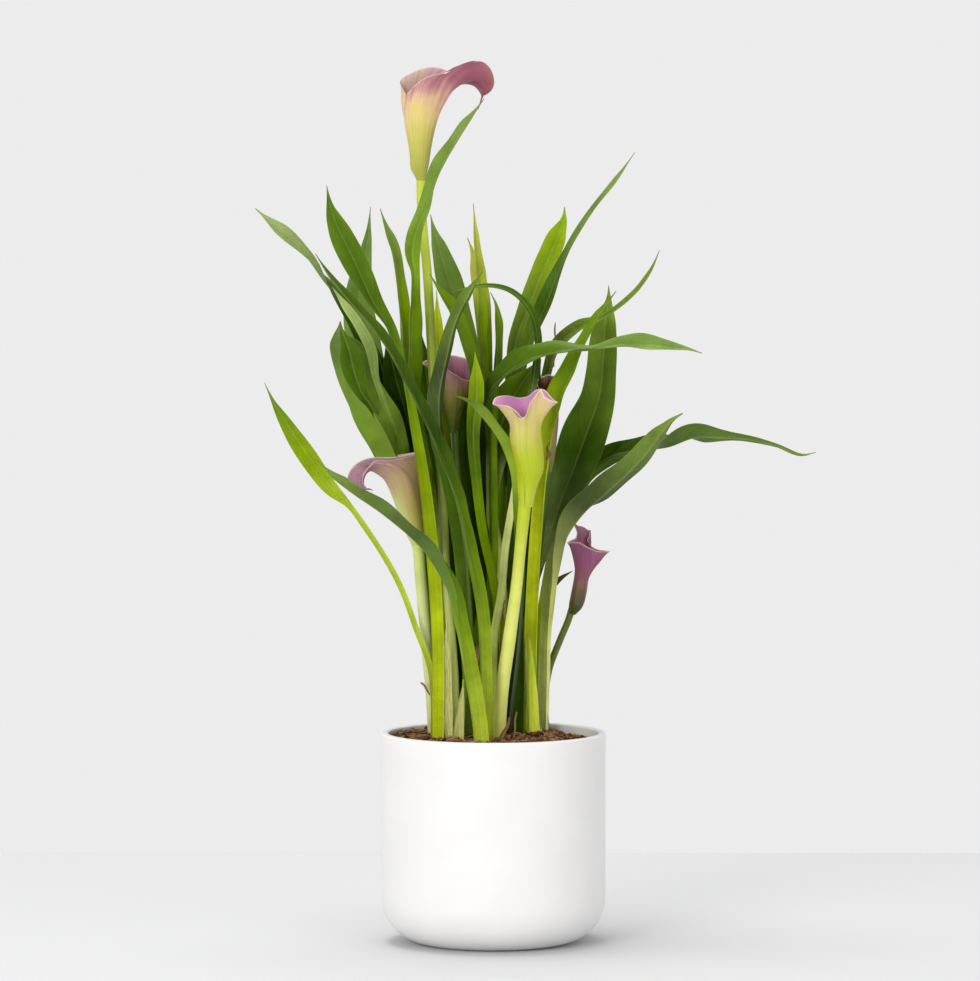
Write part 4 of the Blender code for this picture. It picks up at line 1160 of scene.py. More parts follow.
        looks = [stacked(flag, np.abs(angle) / math.pi, left) for flag in (1.0, 0.0)]
        marks = {"sheet": [stacked(around, distance, share)] * 2, "look": looks}
        surface = thin_surface([inner, outer], marks)
        if self.thread:
            surface = surface.joined(self.thread_surface(inner[self.COLUMNS // 2]))
        return surface

    def stand_off(self, grid: Array, angle: Array, share: Array) -> Array:
        """How far each point of the plain sheet moves to bring its edge to the rim's places.

        The sway moves whole rings. The rest of the way from the plain edge to the rim's place at the
        same angle grows with the square of the height, from where the sheet turns out to its edge.

        Args:
            grid: Places of the plain sheet from the stalk's end.
            angle: Angle of each point from the tip.
            share: Share of the height of each point.

        Returns:
            The move of each point.
        """
        sway = np.array(self.sway, float)
        moved = stacked(*(smooth_line(sway[:, (0, i)], share) for i in (1, 2, 3)))
        if not self.rim:
            return moved
        rim = np.array(self.rim, float)
        places = stacked(*(smooth_line(rim[:, (0, i)], np.degrees(angle[:, -1])) for i in (1, 2, 3)))
        left = places - grid[:, -1] - moved[:, -1]
        weight = np.clip((share - self.turn_out) / (1.0 - self.turn_out), 0.0, 1.0) ** 2
        return moved + left[:, None] * weight[..., None]

    def thread_surface(self, row: Array) -> Surface:
        """The dried thread at the lip's point: a tapering tube that bends down.

        Its marks are those of the outer face at the far end of the lip, whose colour it takes.

        Args:
            row: Points along the sheet's middle line.

        Returns:
            The thread's surface.
        """
        start = row[-1]
        onward = unit(row[-1] - row[-4])
        steps = np.linspace(-0.15, 1.0, 12)
        droop = np.array([0.0, 0.0, -0.35 * self.thread])
        places = start + np.outer(steps * self.thread, onward) + np.outer(steps ** 2, droop)
        radius = self.THREAD_RADIUS * (1.0 - 0.8 * np.clip(steps, 0.0, 1.0))[:, None]
        rings = circle_rings(places, radius, 10, *route_frames(places))
        return tube_surface(rings, {"sheet": np.broadcast_to((1.0, 108.0, 1.0), rings.shape),
                                    "look": np.broadcast_to((0.0, 0.0, 9.0), rings.shape)})

    def club_surface(self) -> Surface:
        """The club: circles of a rounded outline along the axis, from just over the stalk's end.

        Returns:
            The surface.
        """
        end, axis, tip, side = self.frame()
        base = min(self.stalk[-1][3] / 2.0 - 0.4, 3.0)
        shape = [(0.0, base), (0.3, base * 1.08), (0.7, base), (0.92, base * 0.75), (1.0, base * 0.3)]
        shares = np.linspace(0.0, 1.0, 40)
        radius = np.maximum(smooth_line(shape, shares), 0.3)[:, None]
        middles = end + np.outer(0.7 + shares * self.spadix, axis)
        return tube_surface(circle_rings(middles, radius, 24, tip[None], side[None]), {})


@dataclass(frozen=True)
class Sheath:
    """A papery sheath, part of a tube that stands in the soil with a ragged top.

    spot: Middle of the tube.
    radius: Its radius.
    start: Turn at which it starts, in degrees.
    stop: Turn at which it stops.
    heights: Height over the soil at even turns between.
    """

    spot: tuple[float, float]
    radius: float
    start: float
    stop: float
    heights: Sequence[float]

    COLUMNS = 70
    ROWS = 26
    DEPTH = 6.0
    THICK = 0.30

    def surface(self, seed: int) -> Surface:
        """The sheath: each point has a turn and a share of the height, and creases move it in and out.

        Args:
            seed: Seed of the ragged top and the creases.

        Returns:
            The surface with its mark: around, height over the soil and share.
        """
        u, v = np.meshgrid(np.linspace(0.0, 1.0, self.COLUMNS), np.linspace(0.0, 1.0, self.ROWS),
                           indexing="ij")
        given = [(i / (len(self.heights) - 1), height) for i, height in enumerate(self.heights)]
        ragged = value_noise(u * 60.0, np.zeros_like(u), 2.2, seed) * 1.6
        height = smooth_line(given, u) + ragged
        rise = -self.DEPTH + (height + self.DEPTH) * v
        turn = np.radians(self.start + (self.stop - self.start) * u)
        lean = 0.8 * np.clip(rise / 60.0, 0.0, 1.0)
        shown = np.clip(rise / 8.0, 0.0, 1.0)
        crease = value_noise(u * 40.0 + 7.0, rise * 0.10, 2.6, seed + 1) * 0.35 * shown
        x, y = self.spot
        wide = self.radius + lean + crease
        walls = [stacked(x + reach * np.cos(turn), y + reach * np.sin(turn), SOIL_LEVEL + rise)
                 for reach in (wide, wide + self.THICK)]
        return thin_surface(walls, {"sheet": [stacked(turn * self.radius, rise, v)] * 2})


@dataclass(frozen=True)
class Ribbon:
    """A loose or dried strip at the base: a thin curled band along a short route.

    route: x, y, z, width and roll of each point.
    curl: How far the edges turn in, in degrees.
    fresh: Whether it is still pale, or dead and brown.
    """

    route: Sequence[Point]
    curl: float = 35.0
    fresh: bool = False

    STEP = 1.6
    ACROSS = 8
    THIN = 0.32

    def surface(self) -> Surface:
        """The band: an arc of a circle across, whose edges turn in by the curl, carried along the route.

        Returns:
            The surface with its mark: across, along and share.
        """
        stations, distance = even_stations(self.route, self.STEP)
        values = route_curve(self.route, stations)
        places = values[:, :3]
        sideways, upward = turned(*route_frames(places), np.radians(values[:, 4]))
        a = np.linspace(-1.0, 1.0, self.ACROSS + 1)
        both = np.concatenate([a, a[::-1]])
        half = np.maximum(values[:, 3:4], 0.4) / 2.0
        bend = math.radians(self.curl)
        side = half * np.sin(both * bend) / math.sin(bend)
        face = np.repeat([self.THIN / 2.0, -self.THIN / 2.0], len(a))
        skin = face * (1.0 - 0.5 * np.abs(both))
        rise = half * (1.0 - np.cos(both * bend)) / math.sin(bend) + skin
        rings = places[:, None] + side[..., None] * sideways[:, None] + rise[..., None] * upward[:, None]
        along = distance[:, None]
        return tube_surface(rings, {"sheet": stacked(both * half, along, along / distance[-1])})


def pot_arc(radius: float, height: float, steps: int) -> Array:
    """Quarter circle of a rounded foot, from the side down to the base, as radius and height rows."""
    turn = np.linspace(0.0, math.pi / 2.0, steps + 1)
    return stacked(radius - height + height * np.cos(turn), height - height * np.sin(turn))


def turned_surface(profile: Array, sides: int) -> Surface:
    """A profile of radius and height, from axis to axis, carried once round +Z.

    Args:
        profile: Radius and height rows, the first and the last on the axis.
        sides: Number of points round each circle.

    Returns:
        The closed surface.
    """
    turn = np.arange(sides) / sides * math.tau
    radius, height = profile[1:-1, 0:1], profile[1:-1, 1:2]
    rings = stacked(radius * np.cos(turn), radius * np.sin(turn), height)
    count = len(rings)
    body = ring_quads(count, sides)
    first, last = count * sides, count * sides + 1
    j = np.arange(sides)
    following = (j + 1) % sides
    start = stacked(first, following, j)
    stop = stacked(last, j + (count - 1) * sides, following + (count - 1) * sides)
    poles = np.array([[0.0, 0.0, profile[0, 1]], [0.0, 0.0, profile[-1, 1]]])
    points = np.concatenate([rings.reshape(-1, 3), poles])
    return Surface(points, body.tolist() + start.tolist() + stop.tolist(), {})


@dataclass(frozen=True)
class Pot:
    """The round white pot with a rounded foot and an open top.

    height: Height of the rim.
    lip: Radius of the rim's rounded edges.
    """

    height: float = 136.0
    lip: float = 1.3

    SIDES = 180
    WALL_ROWS = 10

    def surface(self) -> Surface:
        """The pot: inner outline up, a rim of two quarter circles, and the outer outline down.

        Returns:
            The surface.
        """
        inner_radius = POT_RADIUS - POT_WALL
        inside = pot_arc(inner_radius, POT_FOOT - POT_WALL, 14)[::-1] + np.array([0.0, POT_FLOOR])
        turn = np.linspace(0.0, math.pi / 2.0, 6)
        inner_lip = stacked(inner_radius + self.lip - self.lip * np.cos(turn),
                            self.height - self.lip + self.lip * np.sin(turn))
        outer_lip = stacked(POT_RADIUS - self.lip + self.lip * np.sin(turn),
                            self.height - self.lip + self.lip * np.cos(turn))
        outside = pot_arc(POT_RADIUS, POT_FOOT, 18)
        walls = np.linspace(POT_FOOT, self.height - self.lip, self.WALL_ROWS + 2)[1:-1]
        inner_wall, outer_wall = stacked(inner_radius, walls), stacked(POT_RADIUS, walls[::-1])
        profile = np.concatenate([
            [[0.0, POT_FLOOR]], inside, inner_wall, inner_lip, outer_lip, outer_wall, outside,
            [[0.0, 0.0]]])
        return turned_surface(profile, self.SIDES)

    def build(self) -> None:
        """Make the pot and glaze it."""
        place_piece(self.surface().piece("glazed_pot", GlazeFinish().make()), "pot_ceramic", "pot")


@dataclass(frozen=True)
class SoilBed:
    """The soil that fills the pot, with crumbs, bark and fibres on it.

    inset: Gap between the soil and the pot's wall.
    crumbs: Number of crumbs.
    chips: Number of bark chips.
    fibres: Number of root fibres.

    NOISE holds the cell, depth and seed of each size of unevenness.
    """

    inset: float = 0.35
    crumbs: int = 3200
    chips: int = 70
    fibres: int = 420

    SIDES = 200
    RINGS = 70
    NOISE = ((9.0, 1.1, 11), (3.7, 0.8, 12), (1.6, 0.35, 13))

    def rise(self, x: Array, y: Array) -> Array:
        """Height of the surface over the soil's level at points.

        It is a product of waves, a dip on the right, and noise of three sizes, all flattened at the
        wall.

        Args:
            x: First coordinate of each point.
            y: Second coordinate of each point.

        Returns:
            The height at each point.
        """
        waves = np.sin(x * 0.21 + 1.3) * np.cos(y * 0.17 - 0.4) + 0.6 * np.sin(x * 0.09 - y * 0.13)
        reach = np.hypot(x, y) / POT_RADIUS
        noise = sum(value_noise(x + 300.0, y + 300.0, cell, seed) * depth for cell, depth, seed in self.NOISE)
        dip = 4.0 * smoothstep((x - 30.0) / 30.0)
        return (1.6 * waves + noise) * (1.0 - reach ** 6) - dip

    def bed_surface(self) -> Surface:
        """The bed: the pot's inner outline drawn in by the gap, closed by the uneven top.

        Returns:
            The surface with its mark: shade of each point.
        """
        wall = POT_RADIUS - POT_WALL - self.inset
        bend = POT_FOOT - POT_WALL - self.inset
        base = POT_FLOOR + self.inset
        inside = pot_arc(wall, bend, 8)[::-1] + np.array([0.0, base])
        tops = np.linspace(wall, 0.0, self.RINGS + 1)[:-1]
        profile = np.concatenate([[[0.0, base]], inside, stacked(tops, SOIL_LEVEL), [[0.0, SOIL_LEVEL]]])
        surface = turned_surface(profile, self.SIDES)
        points = surface.points
        upper = points[:, 2] > SOIL_LEVEL - 1.0
        points[upper, 2] += self.rise(points[upper, 0], points[upper, 1])
        marks = {"look": np.zeros_like(points)}
        return Surface(points, surface.faces, marks)

    def spots(self, count: int, generator: np.random.Generator, margin: float = 3.0) -> tuple[Array, Array]:
        """Random places spread evenly over the bed: the radius grows with a random share's root.

        Args:
            count: Number of places.
            generator: Source of the random values.
            margin: Distance kept from the pot's wall.

        Returns:
            x and y of the places.
        """
        reach = (POT_RADIUS - POT_WALL - margin) * np.sqrt(generator.uniform(0.0, 1.0, count))
        turn = generator.uniform(0.0, math.tau, count)
        return reach * np.cos(turn), reach * np.sin(turn)

    def lump_surface(self, count: int, small: float, large: float, flat: float, seed: int) -> Surface:
        """Lumps on the bed: cubes of 24 faces blown round, jittered, squashed, turned and half sunk.

        Args:
            count: Number of lumps.
            small: Radius of the smallest.
            large: Radius of the largest.
            flat: Height of a lump as a share of its width.
            seed: Seed of all random choices.

        Returns:
            The lumps as one surface of separate shells.
        """
        shape = bmesh.new()
        bmesh.ops.create_cube(shape, size=2.0)
        bmesh.ops.subdivide_edges(shape, edges=shape.edges, cuts=1, use_grid_fill=True)
        cube = np.array([corner.co[:] for corner in shape.verts])
        shape.verts.index_update()
        quads = np.array([[corner.index for corner in face.verts] for face in shape.faces])
        shape.free()
        generator = np.random.default_rng(seed)
        ball = unit(cube) * 0.75 + cube * 0.25
        size = small + (large - small) * generator.uniform(0.0, 1.0, count) ** 2.4
        stretch = stacked(generator.uniform(0.7, 1.4, count), generator.uniform(0.7, 1.2, count),
                          flat * generator.uniform(0.7, 1.2, count))
        jitter = 1.0 + generator.uniform(-0.22, 0.22, (count, len(ball), 1))
        lumps = ball * jitter * stretch[:, None] * size[:, None, None]
        yaw, tip = generator.uniform(0.0, math.tau, count), generator.uniform(-0.5, 0.5, count)
        x, z = turned(lumps[..., 0], lumps[..., 2], tip)
        x, y = turned(x, lumps[..., 1], yaw)
        spot_x, spot_y = self.spots(count, generator)
        level = SOIL_LEVEL + self.rise(spot_x, spot_y) + size * flat * 0.25
        points = stacked(x + spot_x[:, None], y + spot_y[:, None], z + level[:, None])
        faces = (quads[None] + np.arange(count)[:, None, None] * len(ball)).reshape(-1, 4)
        shade = np.zeros(points.shape)
        shade[..., 0] = generator.uniform(-0.30, 0.38, (count, 1))
        return Surface(points.reshape(-1, 3), faces.tolist(), {"look": shade.reshape(-1, 3)})

    def fibre_surface(self, seed: int) -> Surface:
        """Fibres on the bed: thin three-sided tubes along lines that bow like a parabola.

        Args:
            seed: Seed of all random choices.

        Returns:
            The fibres as one surface of separate tubes.
        """
        generator = np.random.default_rng(seed)
        count, stations, sides = self.fibres, 7, 3
        x, y = self.spots(count, generator, 9.0)
        yaw = generator.uniform(0.0, math.tau, count)
        length = generator.uniform(4.0, 15.0, count)
        bow = generator.uniform(-0.35, 0.35, count) * length
        arch = np.abs(generator.normal(0.0, 0.9, count))
        t = np.linspace(-0.5, 0.5, stations)
        run = length[:, None] * t
        off = bow[:, None] * (1.0 - 4.0 * t ** 2)
        px = x[:, None] + run * np.cos(yaw)[:, None] - off * np.sin(yaw)[:, None]
        py = y[:, None] + run * np.sin(yaw)[:, None] + off * np.cos(yaw)[:, None]
        pz = SOIL_LEVEL + self.rise(px, py) + 0.25 + arch[:, None] * (1.0 - 4.0 * t ** 2)
        thick = generator.uniform(0.14, 0.38, count)[:, None, None] * (1.0 - 0.7 * np.abs(t))[None, :, None]
        turn = np.arange(sides) / sides * math.tau
        side_x, side_y = -np.sin(yaw)[:, None, None], np.cos(yaw)[:, None, None]
        points = stacked(px[..., None] + thick * np.cos(turn) * side_x,
                         py[..., None] + thick * np.cos(turn) * side_y,
                         pz[..., None] + thick * np.sin(turn))
        one = ring_quads(stations, sides)
        block = stations * sides
        quads = (one[None] + np.arange(count)[:, None, None] * block).reshape(-1, 4).tolist()
        ends = [[2, 1, 0], [block - 3, block - 2, block - 1]]
        caps = [[corner + i * block for corner in end] for i in range(count) for end in ends]
        shade = np.zeros(points.shape)
        shade[..., 0] = generator.uniform(0.05, 0.6, (count, 1, 1))
        return Surface(points.reshape(-1, 3), quads + caps, {"look": shade.reshape(-1, 3)})

    def build(self) -> None:
        """Make the bed and what lies on it."""
        peat = EarthFinish("damp_peat", "2C1A0E", "78532F", "B88C58").make()
        bark = EarthFinish("pine_bark", "4A2E1C", "84593A", "B48A5E", grain=1.4).make()
        roots = EarthFinish("root_fibre", "5A3A28", "8C6240", "C09C70", grain=0.7).make()
        place_piece(self.bed_surface().piece("soil_bed", peat), "soil", "soil")
        crumbs = self.lump_surface(self.crumbs, 0.35, 1.9, 0.8, SEED)
        place_piece(crumbs.piece("soil_crumbs", peat), "soil")
        chips = self.lump_surface(self.chips, 1.2, 3.2, 0.35, SEED + 1)
        place_piece(chips.piece("bark_chips", bark, 35.0), "soil")
        place_piece(self.fibre_surface(SEED + 2).piece("root_fibres", roots), "soil")


# Each leaf's greens hold painted light and shade: the darkest tones where a leaf lies in shade deep in the
# clump, the brightest lime on stalks lit from behind, and the grey and sage tones where a face shows a
# painted sheen.
LEAVES = {
    "far_left": Leaf((Green.LIME, Green.LIME, Green.SPRING, Green.LEAF), 5, 25, [
        (-39, 1, 132, 4, 20), (-42, -5, 182, 4, 15), (-49, -6, 201, 4, 10), (-60, -8, 231, 4, 5),
        (-83, -12, 270, 4, 0), (-93, -15, 284, 4.5, -5), (-103, -18, 294, 10, -10),
        (-116, -23, 312, 13.5, -10), (-131, -29, 335, 10, -10), (-141, -33, 352, 3.5, -10),
        (-146, -35, 363, 1, -10)]),
    "front_sweep": Leaf((Green.LIME, Green.GRASS, Green.DEEP, Green.OLIVE), 4, 32, [
        (-8, -38, 134, 10.5, 20), (-11, -39, 160, 10.5, 20), (-15, -42, 183, 10.5, 30),
        (-20, -46, 209, 10.5, 50), (-26, -50, 232, 15.5, 75), (-44, -58, 258, 25.5, 95),
        (-69, -68, 281, 22.5, 100), (-91, -76, 297, 19, 100), (-103, -80, 307, 11.5, 100),
        (-111, -83, 316, 1, 100)]),
    "curled": Leaf((Green.GRASS, Green.LEAF, Green.GRASS, Green.MOSS), 3, 32, [
        (-33, 20, 131, 6, 190), (-39, 20, 194, 6, 190), (-48, 19, 246, 6, 190), (-57, 19, 292, 10, 190),
        (-65, 13, 318, 27.5, 185), (-73, 7, 335, 33, 175), (-82, 2, 349, 31, 165),
        (-91.5, -4, 365, 29, 160), (-95.5, -10, 379, 27, 160), (-98.5, -17, 391, 16, 165),
        (-98, -24, 402, 2.5, 170)]),
    "twisted_left": Leaf((Green.GRASS, Green.SHADE, Green.DEEP, Green.SAGE), 5, 25, [
        (-29, 31, 130, 6, 20), (-35, 31, 219, 6.5, 30), (-43, 30, 271, 7, 40), (-53, 29, 311, 7, 40),
        (-70, 14, 345, 7, 20), (-80, 7, 370, 8, 0), (-87, 4, 394, 9.5, 10), (-98, 4, 413, 10, 35),
        (-110, 3, 429, 10, 80), (-120, 0, 443, 9.5, 130), (-133, -3, 456, 11, 150), (-144, -5, 466, 7, 160),
        (-153, -6, 474, 1, 160)]),
    "front_diagonal": Leaf((Green.LIME, Green.GRASS, Green.SHADE, Green.MOSS), 3, 30, [
        (-4, -26, 133, 8, 20), (-5, -29, 181, 8.5, 30), (-7, -32, 218, 9.5, 45), (-16, -38, 260, 12, 60),
        (-24, -43, 290, 14, 60), (-36, -50, 323, 15, 60), (-53, -57, 359, 14, 60),
        (-69, -64, 389, 12.5, 62), (-90, -74, 415, 10, 65), (-103, -80, 431, 7, 68),
        (-112, -85, 446, 1, 70)]),
    "left_main": Leaf((Green.BACKLIT, Green.GRASS, Green.MOSS, Green.FERN), 5, 32, [
        (-36, -10, 133, 8.5, 10), (-36, -11, 197, 8.5, 10), (-39, -14, 248, 9, 10),
        (-43, -17, 287, 8.5, 15), (-50, -18, 332, 7, 25), (-59, -17, 374, 7, 50), (-69, -16, 400, 12, 50),
        (-79, -15, 417, 14, 30), (-85, -14, 431, 17.5, 10), (-91, -13, 444, 19, 0), (-98, -12, 458, 17, 0),
        (-104, -11, 472, 9, 5), (-107, -10, 489, 1, 5)]),
    "left_grey": Leaf((Green.MOSS, Green.MOSS, Green.GREY_SHEEN, Green.GREY_SHEEN), 3, 20, [
        (-27, 42, 130, 6, 10), (-31, 43, 218, 6, 10), (-45, 42, 297, 6, 5), (-64, 42, 346, 8, 0),
        (-79, 42, 370, 19.5, 0), (-86, 42, 395, 23.5, 0), (-88, 42, 414, 19.5, 0), (-85, 42, 437, 12.5, 0),
        (-82, 42, 453, 6, 0), (-80, 42, 475, 1, 0)]),
    "left_upright": Leaf((Green.BLACK_SHADE, Green.MOSS, Green.SPRING, Green.GREY_SHEEN), 4, 28, [
        (-22, 14, 134, 6, 40), (-28, 14, 220, 6.5, 50), (-39, 14, 285, 7.5, 60), (-48, 13, 337, 7.5, 65),
        (-57, 12, 379, 9, 65), (-60, 11, 408, 14, 60), (-62, 10, 427, 14, 60), (-65, 8, 446, 12, 60),
        (-70, 6, 462, 8, 60), (-73, 5, 474, 1, 60)]),
    "tall_front": Leaf((Green.PALE, Green.LEAF, Green.GRASS, Green.GREY_SHEEN), 4, 28, [
        (-33, 0, 132, 5.5, 20), (-33, 1, 196, 5.5, 30), (-36, 3, 247, 6, 40), (-41, 3, 299, 6.5, 50),
        (-50, -3, 344, 9.5, 55), (-53, -7, 383, 16.5, 55), (-52, -9, 415, 12, 50), (-51, -10, 433, 7.5, 35),
        (-52.5, -11, 445, 11.5, 15), (-50.5, -12, 456, 11.5, -10), (-43, -14, 474, 11.5, -40),
        (-35, -17, 497, 16, -60), (-25, -20, 515, 13, -60), (-14, -23, 532, 8.5, -60),
        (-6, -25, 544, 1, -60)]),
    "behind_scape": Leaf((Green.MOSS, Green.MOSS, Green.OLIVE, Green.GREY_SHEEN), 3, 25, [
        (-11, 34, 132, 5.5, 10), (-9, 38, 206, 5.5, 10), (-6, 44, 284, 5.5, 10), (-9, 51, 355, 7, 10),
        (-16, 52, 388, 11.5, 10), (-23, 51, 409, 15.5, 10), (-30, 49, 429, 18.5, 10),
        (-35, 44, 446, 12.5, 10), (-39, 43, 460, 6, 10), (-41, 43, 470, 1, 10)]),
    "bright_narrow": Leaf((Green.DEEP, Green.DARK_SHADE, Green.LEAF, Green.GRASS), 4, 28, [
        (-14, 15, 133, 6, 40), (-13, 12, 221, 6.5, 50), (-14, 11, 286, 7, 55), (-14, 8, 325, 8, 60),
        (-13, 4, 351, 11, 60), (-16, -1, 377, 15.5, 55), (-22, -2, 397, 13.5, 50), (-29, 0, 412, 11.5, 45),
        (-36, -2, 423, 6, 45), (-41, -3, 432, 1, 45)]),
    "dark_front": Leaf((Green.OLIVE, Green.DEEP, Green.DARK_SHADE, Green.LEAF), 4, 28, [
        (-16, -12, 135, 9.5, -100), (-19, -14, 197, 9.5, -100), (-23, -16, 255, 9, -110),
        (-30, -17, 300, 9, -120), (-36, -16, 332, 11.5, -140), (-35, -16, 355, 15, -140),
        (-30, -18, 380, 12.5, -140), (-24, -22, 403, 10.5, -140), (-15, -27, 421, 8.5, -140),
        (-7, -32, 434, 1, -140)]),
    "yellow_narrow": Leaf((Green.GRASS, Green.DEEP, Green.SPRING, Green.STRAW), 3, 26, [
        (-4, 24, 133, 6, 40), (-1, 26, 220, 6.5, 50), (-4, 28, 304, 6.5, 50), (-7, 23, 369, 8.5, 50),
        (-9, 18, 402, 11, 50), (-9, 16, 423, 11, 50), (-11, 15, 442, 9, 50), (-12, 14, 457, 5.5, 50),
        (-13, 13, 477, 1, 50)]),
    "green_behind": Leaf((Green.MOSS, Green.LEAF, Green.LEAF, Green.STRAW), 3, 25, [
        (2, 34, 133, 5.5, 10), (4, 36, 219, 5.5, 10), (2, 37, 297, 6, 5), (-4, 37, 359, 8, 0),
        (-6, 37, 395, 11, 0), (-8, 37, 418, 12, 0), (-11, 37, 435, 9.5, 0), (-14, 37, 447, 4.5, 0),
        (-17, 37, 455, 1, 0)]),
    "arch": Leaf((Green.LIME, Green.CREAM, Green.SHADE, Green.MOSS), 6, 28, [
        (2, 3, 133, 5.5, -25), (0, 0, 179, 5.5, -25), (1, -1, 202, 5.5, -25), (5, -3, 225, 5.5, -25),
        (8, -4, 257, 5.5, -20), (13, -5, 288, 5, -5), (18, 0, 315, 6, 15), (22, 5, 344, 6.5, 30),
        (27, 5, 376, 7, 40), (27.5, 3, 395, 7, 40), (22, 0, 410, 6, 40), (12, -2, 420, 5, 40),
        (-1, -4, 424, 4, 40), (-15, -6, 423, 3, 40), (-28, -8, 420, 1, 40)]),
    "middle_narrow": Leaf((Green.LEAF, Green.GRASS, Green.DEEP, Green.GRASS), 4, 28, [
        (-5, 6, 133, 6, 40), (-2, 10, 208, 6.5, 45), (0, 11, 247, 6.5, 50), (0, 12, 286, 6.5, 50),
        (0, 7, 350, 6.5, 50), (2, 5, 386, 9, 50), (2, 4, 403, 8, 50), (1, 4, 413, 4.5, 50),
        (-2, 4, 420, 1, 50)]),
    "blunt_right": Leaf((Green.MOSS, Green.DEEP, Green.OLIVE, Green.SPRING), 4, 28, [
        (7, 26, 133, 5, -5), (8, 28, 193, 5, -5), (8, 29, 258, 5, -5), (8, 30, 324, 6, -10),
        (11, 31, 364, 7, -10), (15, 31, 389, 11, -10), (22, 31, 408, 14, -10), (29, 31, 426, 15.5, -10),
        (36, 31, 442, 16, -10), (42, 30, 457, 14, -10), (46, 30, 468, 7, -10), (46, 30, 475, 1, -10)]),
    "tall_right": Leaf((Green.LEAF, Green.OLIVE, Green.DEEP, Green.GREY_SHEEN), 4, 28, [
        (17, 17, 134, 5.5, -30), (17, 20, 194, 6, -40), (15, 28, 259, 6, -40), (16, 30, 324, 6, -40),
        (18, 26, 363, 8.5, -40), (24, 21, 389, 12, -40), (34, 17, 411, 15, -40), (41, 15, 430, 10.5, -45),
        (51, 13, 452, 6.5, -50), (65, 10, 474, 5.5, -50), (79, 8, 492, 4.5, -50), (91, 6, 510, 1, -50)]),
    "bent_right": Leaf((Green.MOSS, Green.MOSS, Green.OLIVE, Green.OLIVE), 4, 28, [
        (13, 32, 133, 5.5, -20), (17, 31, 180, 5.5, -30), (21, 33, 232, 6, -40), (26, 41, 284, 6, -40),
        (31, 55, 332, 7.5, -40), (35, 53, 362, 8.5, -40), (41, 41, 383, 10, -35), (56, 22, 397, 10, -35),
        (68, 12, 402, 6.5, -50), (81, 10, 410, 6, -60), (93, 9, 421, 6.5, -60), (102, 8, 434, 5, -60),
        (107, 7, 447, 1, -60)]),
    "right_level": Leaf((Green.DARK_SHADE, Green.BLACK_SHADE, Green.MOSS, Green.GREY_SHEEN), 5, 28, [
        (-8, 16, 133, 5.5, -20), (-7, 17, 194, 5.5, -20), (-7, 16, 246, 5.5, -20), (-7, 10, 286, 5.5, -30),
        (-7, 1, 325, 6, -40), (-6, -6, 348, 9, -50), (4, -16, 364, 17, -55), (18, -22, 375, 21, -55),
        (35, -26, 381, 20, -60), (51, -28, 383.5, 14, -70), (63, -30, 384, 8, -75), (80, -32, 387, 13, -55),
        (98, -34, 387, 15, -45), (115, -36, 385, 9, -50), (125, -37, 384, 6, -60),
        (133, -38, 382, 1, -60)]),
    "broad_right": Leaf((Green.OLIVE, Green.SAGE, Green.DEEP, Green.OLIVE), 3, 26, [
        (17, 44, 132, 6, -5), (18, 45, 179, 6, -5), (24, 49, 224, 6, -5), (35, 51, 257, 10.5, -8),
        (44, 49, 283, 23.5, -10), (53, 46, 306, 31, -10), (62, 43, 331, 33, -10), (69, 40, 352, 25, -10),
        (71, 40, 370, 22, -10), (72, 39, 387, 20, -8), (73, 39, 402, 15, -5), (75, 39, 414, 7, -5),
        (75, 39, 424, 1, -5)]),
    "right_main": Leaf((Green.BACKLIT, Green.BACKLIT, Green.GRASS, Green.LEAF), 5, 28, [
        (24, 26, 132, 9, -20), (24, 26, 167, 9, -20), (25, 24, 213, 9, -20), (28, 20, 266, 8.5, -25),
        (31.5, 16, 305, 9, -30), (35.5, 12, 331, 11.5, -35), (41.5, 9, 352, 16.5, -40),
        (49.5, 6, 370, 14, -40), (57.5, 4, 387, 9.5, -45), (65, 2, 401, 8, -50), (72, 1, 411, 6, -50),
        (79, 0, 421, 1, -50)]),
    "far_right": Leaf((Green.LIME, Green.SPRING, Green.SHADE, Green.FERN), 3, 25, [
        (27, 46, 133, 5.5, -10), (29, 50, 191, 5.5, -15), (36, 59, 237, 5.5, -20), (41, 63, 260, 6.5, -20),
        (50, 64, 279, 11, -25), (63, 61, 301, 16, -30), (78, 57, 312, 16.5, -30), (97, 51, 316, 18, -40),
        (114, 43, 319, 26, -80), (131, 38, 325, 21.5, -135), (147, 34, 325, 12, -140),
        (164, 30, 324, 6.5, -140), (183, 26, 320, 3.5, -140), (202, 22, 314, 3, -140),
        (209, 21, 316, 1, -140)]),
    "right_curved": Leaf((Green.CREAM, Green.PALE, Green.BLACK_SHADE, Green.OLIVE), 3, 28, [
        (32, 37, 133, 9, -40), (33, 37, 166, 9, -45), (35, 36, 209, 9.5, -55), (39, 34, 237, 16.5, -70),
        (48, 30, 262, 26, -100), (58, 26, 276, 26, -120), (72, 22, 289, 25, -135),
        (85, 17, 301, 20.5, -145), (99, 12, 316, 17, -150), (109, 7, 330, 11, -150), (116, 4, 338, 6, -150),
        (122, 2, 342, 2.5, -150)]),
    "front_curve": Leaf((Green.DARK_SHADE, Green.DEEP, Green.SPRING, Green.LEAF), 3, 28, [
        (10, 0, 133, 7.5, 60), (15, -6, 190, 8, 70), (18, -13, 248, 9.5, 80), (16, -16, 281, 14, 100),
        (11, -18, 308, 16, 115), (4, -22, 326, 14.5, 120), (-5, -26, 339, 13, 120),
        (-14, -30, 349, 10, 120), (-20, -34, 353, 6, 120), (-25, -37, 355, 1, 120)]),
    "mid_upright": Leaf((Green.SPRING, Green.GRASS, Green.MOSS, Green.SPRING), 4, 28, [
        (8, 13, 133, 6, 0), (6, 10, 195, 6, 0), (0, 4, 234, 6, 0), (-7, -3, 267, 6.5, 0),
